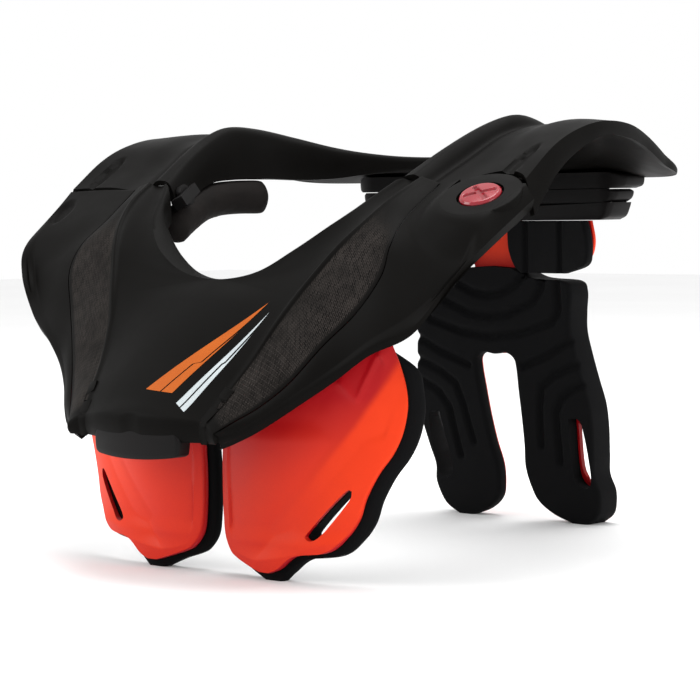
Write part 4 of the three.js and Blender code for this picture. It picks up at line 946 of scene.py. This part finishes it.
def pad_rows():
    """The strut's outline grown by the margin, except at the foot, which stays on the floor."""
    scale = np.array([HALF_WIDTH, HEIGHT, HALF_WIDTH, HEIGHT])
    rows = np.array(CHEST_STRUT) * scale
    low = np.full(len(rows), PAD_MARGIN / 2)
    low[0] = rows[0, 1]
    inner = np.full(len(rows), 0.9 * PAD_MARGIN)
    inner[0] = 0.2 * PAD_MARGIN
    rows += np.stack([-inner, -low, np.full(len(rows), PAD_MARGIN), -low], axis=1)
    rows[-1, 2] -= 2 * PAD_MARGIN
    return rows / scale


def chest_pad(name):
    """The foam behind a strut: thickest half way across, by a quarter sine arch."""
    grid = plate_of(pad_rows(), lambda x, z: chest_face(x, z) + PAD_SEAT,
                    lambda s, xz: CHEST_PAD * (0.75 + 0.25 * np.sin(np.pi * s)), 2.4, columns=70)
    return with_slot(plate_mesh(name, grid), CHEST_SLOT, CHEST_FOAM_SLOT)


in_pairs(chest_strut("chest_strut_left"), strut_orange, "front_half", "strut", "front_strut")
in_pairs(chest_pad("chest_pad_left"), foam_black, "front_half", "foam", "front_pad")


def back_face(x, z):
    """Flat across; it leans back towards the feet with the 1.5th power of the drop."""
    drop = np.clip((0.652 * HEIGHT - z) / (0.652 * HEIGHT), 0, None)
    return HALF_DEPTH * (0.726 + 0.189 * drop**1.5)


def wing_face(x, z):
    """An arc round the back that comes forward with the square of the distance from the middle."""
    return HALF_DEPTH * (0.735 - 0.403 * (x / HALF_WIDTH) ** 2)


def grooves(lines, depth, width):
    """Rounded grooves along lines: depth times the smooth step of one less the distance over the width."""
    scaled = [np.asarray(line) * ACROSS_UP for line in lines]

    def relief(x, z, e, span):
        away = np.min([distance_to(np.stack([x, z], axis=-1), line) for line in scaled], axis=0)
        return depth * smooth(1 - away / width)
    return relief


def back_thickness(s, xz):
    """Even foam that wraps forwards past the last stretch across, by a smooth step."""
    return BACK_PAD + (BACK_WRAP - BACK_PAD) * smooth((s - WRAP_START) / (1 - WRAP_START))


grid = plate_of(past_middle(BACK_PLATE), back_face, back_thickness, 2.4, stations=170, columns=84,
                relief=grooves([*BACK_GROOVES, *HIP_GROOVES], 2.6, 3.6))
back_foam = whole(with_slot(plate_mesh("back_foam", grid), BACK_SLOT, BACK_FOAM_SLOT))
outfit(back_foam, foam_black, "rear_half", "foam", "back_pad")

grid = plate_of(WING_OUTLINE, wing_face, even(WING_PAD), 2.2, stations=60, columns=80,
                relief=grooves(WING_GROOVES, 2.2, 3.2))
in_pairs(plate_mesh("wing_foam_left", grid), foam_black, "rear_half", "foam", "wing_pad")

# Pad under the inner wall's lower edge: the section carried along that edge
pad_t = np.linspace(0, SHOULDER_END, 60)
pad_foot = line_at(REAR_LINES["wall"], pad_t)
outward_way = (pad_foot - np.array([0, SHOULDER_MIDDLE * HALF_DEPTH, 0])) * np.array([1.0, 1.0, 0])
section = np.asarray(SHOULDER_SECTION) * ACROSS_UP
section = line_at(np.vstack([section, section[:1]]), np.linspace(0, 1, 49), np.ones(2))
taper = np.sin(np.clip(np.minimum(pad_t, SHOULDER_END - pad_t) / 0.03, 0, 1) * np.pi / 2)[:, None]
middle = section.mean(axis=0)
local = middle + (section - middle)[None] * np.clip(taper, 0.05, 1)[..., None]
roll_grid = pad_foot[:, None] + unit(outward_way)[:, None] * local[..., :1]
shoulder_left = outward(skin("shoulder_roll_left", roll_grid + np.array([0, 0, 1.0]) * local[..., 1:]))


SWELL_FRAMES = 20


def swollen(obj, voxel, cap):
    """Padding under cloth: the form is remeshed, blown up from inside as cloth, and kept within the cap."""
    remesh = obj.modifiers.new("even", "REMESH")
    remesh.mode = "VOXEL"
    remesh.voxel_size = voxel * MM
    settled_mesh(obj)
    before = np.zeros(len(obj.data.vertices) * 3)
    obj.data.vertices.foreach_get("co", before)
    cloth = obj.modifiers.new("cloth", "CLOTH")
    cloth.settings.quality = 6
    cloth.settings.mass = 0.2
    cloth.settings.tension_stiffness = cloth.settings.compression_stiffness = 12
    cloth.settings.use_pressure = True
    cloth.settings.uniform_pressure_force = 4
    cloth.settings.effector_weights.gravity = 0
    scene = bpy.context.scene
    for frame_number in range(1, SWELL_FRAMES + 1):
        scene.frame_set(frame_number)
    settled_mesh(obj)
    after = np.zeros_like(before)
    obj.data.vertices.foreach_get("co", after)
    move = (after - before).reshape(-1, 3)
    far = np.linalg.norm(move, axis=1, keepdims=True)
    move *= np.minimum(1, cap * MM / np.maximum(far, 1e-9))
    obj.data.vertices.foreach_set("co", (before.reshape(-1, 3) + move).reshape(-1))
    obj.data.update()
    scene.frame_set(1)
    smoother = obj.modifiers.new("fine", "SUBSURF")
    smoother.levels = smoother.render_levels = 1
    return settled_mesh(obj)


swollen(shoulder_left, 2.5, 1.0)
in_pairs(shoulder_left, roll_cloth, "rear_half", "foam", "shoulder_pad")


def bracket_face(x, z):
    """An arc that comes forward with the square of the distance from the middle, and turns back at its end."""
    return HALF_DEPTH * (0.73 - 0.132 * (x / HALF_WIDTH) ** 2) + 7 * np.clip((x - 82) / 14, 0, 1) ** 2


# Three lips with round edges on a common web: rows in millimetres, setback, depth and edge radius
LIPS = {
    "bracket_upper": (
        [[0, 193.2, 93, 193.2], [0, 195, 96, 195], [0, 200, 96.5, 200], [0, 202, 92, 202]], 0.0, 22.0, 3.4),
    "bracket_middle": (
        [[0, 185, 88, 185.4], [0, 187, 91, 187.6], [0, 191, 92, 191.2], [0, 192.8, 90, 192.8]], 1.2, 20.0, 3.2),
    "bracket_lower": (
        [[0, 175.6, 84, 175.8], [0, 177, 88, 178], [0, 181, 90, 183], [0, 182.6, 90.5, 185.4]], 0.4, 21.0, 3.0),
    "bracket_web": ([[0, 176.5, 76, 176.5], [0, 200, 76, 200]], 11.0, 10.0, 2.0),
}
for name, (rows, setback, deep, radius) in LIPS.items():
    grid = plate_of(past_middle(rows, 5.0), lambda x, z: bracket_face(x, z) + setback, even(deep), radius,
                    stations=24, columns=70, size=(1.0, 1.0))
    nodes = ["rear_bracket"] if name == "bracket_upper" else []
    outfit(whole(plate_mesh(name, grid)), clip_black, "rear_half", "clip", *nodes)

# Rear strut behind the pads: legs that follow the pad's outline, narrower by a share, and one shell of wings
LEG_SHARE, BACK_SEAT, WING_SEAT = 0.78, 0.5, 0.8
LEG_TOP = [[0, 0.68, 0.115, 0.68], [0, 0.783, 0.11, 0.783]]
WING_SHELL = [
    [0, 0.655, 0.455, 0.668], [0, 0.69, 0.478, 0.69], [0, 0.72, 0.485, 0.72], [0, 0.763, 0.468, 0.763],
]
strut_rows = np.array(BACK_PLATE[1:])
shell_rows = strut_rows.copy()
shell_rows[:, 0] = np.where(strut_rows[:, 0] > 0, strut_rows[:, 0] + STRUT_WALL / HALF_WIDTH, 0)
shell_rows[:, 2:] = strut_rows[:, :2] + LEG_SHARE * (strut_rows[:, 2:] - strut_rows[:, :2])
shell_rows = np.vstack([shell_rows, LEG_TOP])
grid = plate_of(past_middle(shell_rows), lambda x, z: back_face(x, z) + BACK_PAD + BACK_SEAT,
                even(STRUT_WALL), 1.2, columns=60)
legs = whole(with_slot(plate_mesh("rear_strut_legs", grid), BACK_SLOT, 0))
grid = plate_of(past_middle(WING_SHELL), lambda x, z: wing_face(x, z) + WING_PAD + WING_SEAT,
                even(STRUT_WALL), 1.2, stations=40, columns=70)
shell = whole(plate_mesh("wing_shell", grid))
outfit(legs, strut_orange, "rear_half", "strut", "rear_strut")
outfit(shell, strut_orange, "rear_half", "strut")

# Clip over the front edge: an arch with a rounded rim whose foot bows down
CLIP_ROWS = [
    [27.0, 65.4], [28.9, 66.4], [29.6, 69], [29.8, 73], [28.6, 76], [26.2, 78.6],
    [22.8, 80.6], [18.4, 82.1], [13, 83.1], [7, 83.6], [3, 83.7],
]
CLIP_DEPTH, CLIP_BOW = 9.0, 2.2


def clip_face(x, z):
    """Falls back with the square of the distance from the middle and the cube of the height over 70 mm."""
    lean = 3.2 * np.clip((z - 70) / 14, 0, 1) ** 3 + 0.9 * np.clip((68 - z) / 4, 0, 1) ** 2
    return -163.9 + 0.0042 * x**2 + lean


grid = plate_of([[-w, z, w, z] for w, z in CLIP_ROWS], clip_face, even(CLIP_DEPTH), 1.6, stations=70,
                size=(1.0, 1.0))
bow = (1 - (grid[..., 0] / 30) ** 2) * np.clip((78 - grid[..., 2]) / 13, 0, 1)
grid[..., 2] -= CLIP_BOW * bow
outfit(plate_mesh("front_clip", grid), clip_black, "front_half", "clip", "front_tab")

# Solids whose shape is right keep it and get their finish
for node in ("latch_hook", "latch_ear"):
    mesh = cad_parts[node].data
    mesh.materials.clear()
    mesh.materials.append(clip_black)

# ---- Stage, light and camera ----
floor_mesh = bpy.data.meshes.new("floor")
floor_mesh.from_pydata([(-4, -4, 0), (4, -4, 0), (4, 4, 0), (-4, 4, 0)], [], [(0, 1, 2, 3)])
floor_mesh.materials.append(moulded_surface(
    "pale_studio_paper", ("#f2f2f2", "#f5f5f5"), (0.9, 0.9), (3, 3.0), (1300, 3.0), (0.0, 0.0001))[0])
placed("floor", floor_mesh)

world = bpy.data.worlds.new("studio")
bpy.context.scene.world = world
bpy.context.scene.view_settings.view_transform = "Standard"
world.use_nodes = True
world.node_tree.nodes["Background"].inputs[0].default_value = (1, 1, 1, 1)
world.node_tree.nodes["Background"].inputs[1].default_value = 1.0


def posed(right, up, back, place):
    """A pose from its three axes and its place, as columns."""
    return Matrix([[right[i], up[i], back[i], place[i]] for i in range(3)] + [[0, 0, 0, 1]])


def softbox(name, place, target, size, power):
    """A rectangular light that looks at the target; its axes come from cross products with up."""
    light = bpy.data.lights.new(name, "AREA")
    light.shape = "RECTANGLE"
    light.size, light.size_y = size
    light.energy = power
    back = unit(np.array(place) - np.array(target))
    right = unit(np.cross([0, 0, 1.0], back))
    placed(name, light).matrix_world = posed(right, np.cross(back, right), back, place)


softbox("top_light", (0.1, 0.1, 1.6), (0, 0.001, 0.1), (1.4, 1.0), 22)
softbox("left_light", (-0.9, -1.1, 0.9), (0, 0, 0.12), (0.8, 0.8), 9)
softbox("right_light", (1.5, -0.2, 0.7), (0, 0, 0.12), (0.8, 0.8), 7)

camera_data = bpy.data.cameras.new("camera")
camera_data.lens = CAMERA_LENS
camera_data.sensor_width = SENSOR
camera = placed("camera", camera_data)
camera.matrix_world = posed(CAMERA_RIGHT, CAMERA_UP, CAMERA_BACK, (CAMERA_PLACE + SHIFT) * MM)
bpy.context.scene.camera = camera
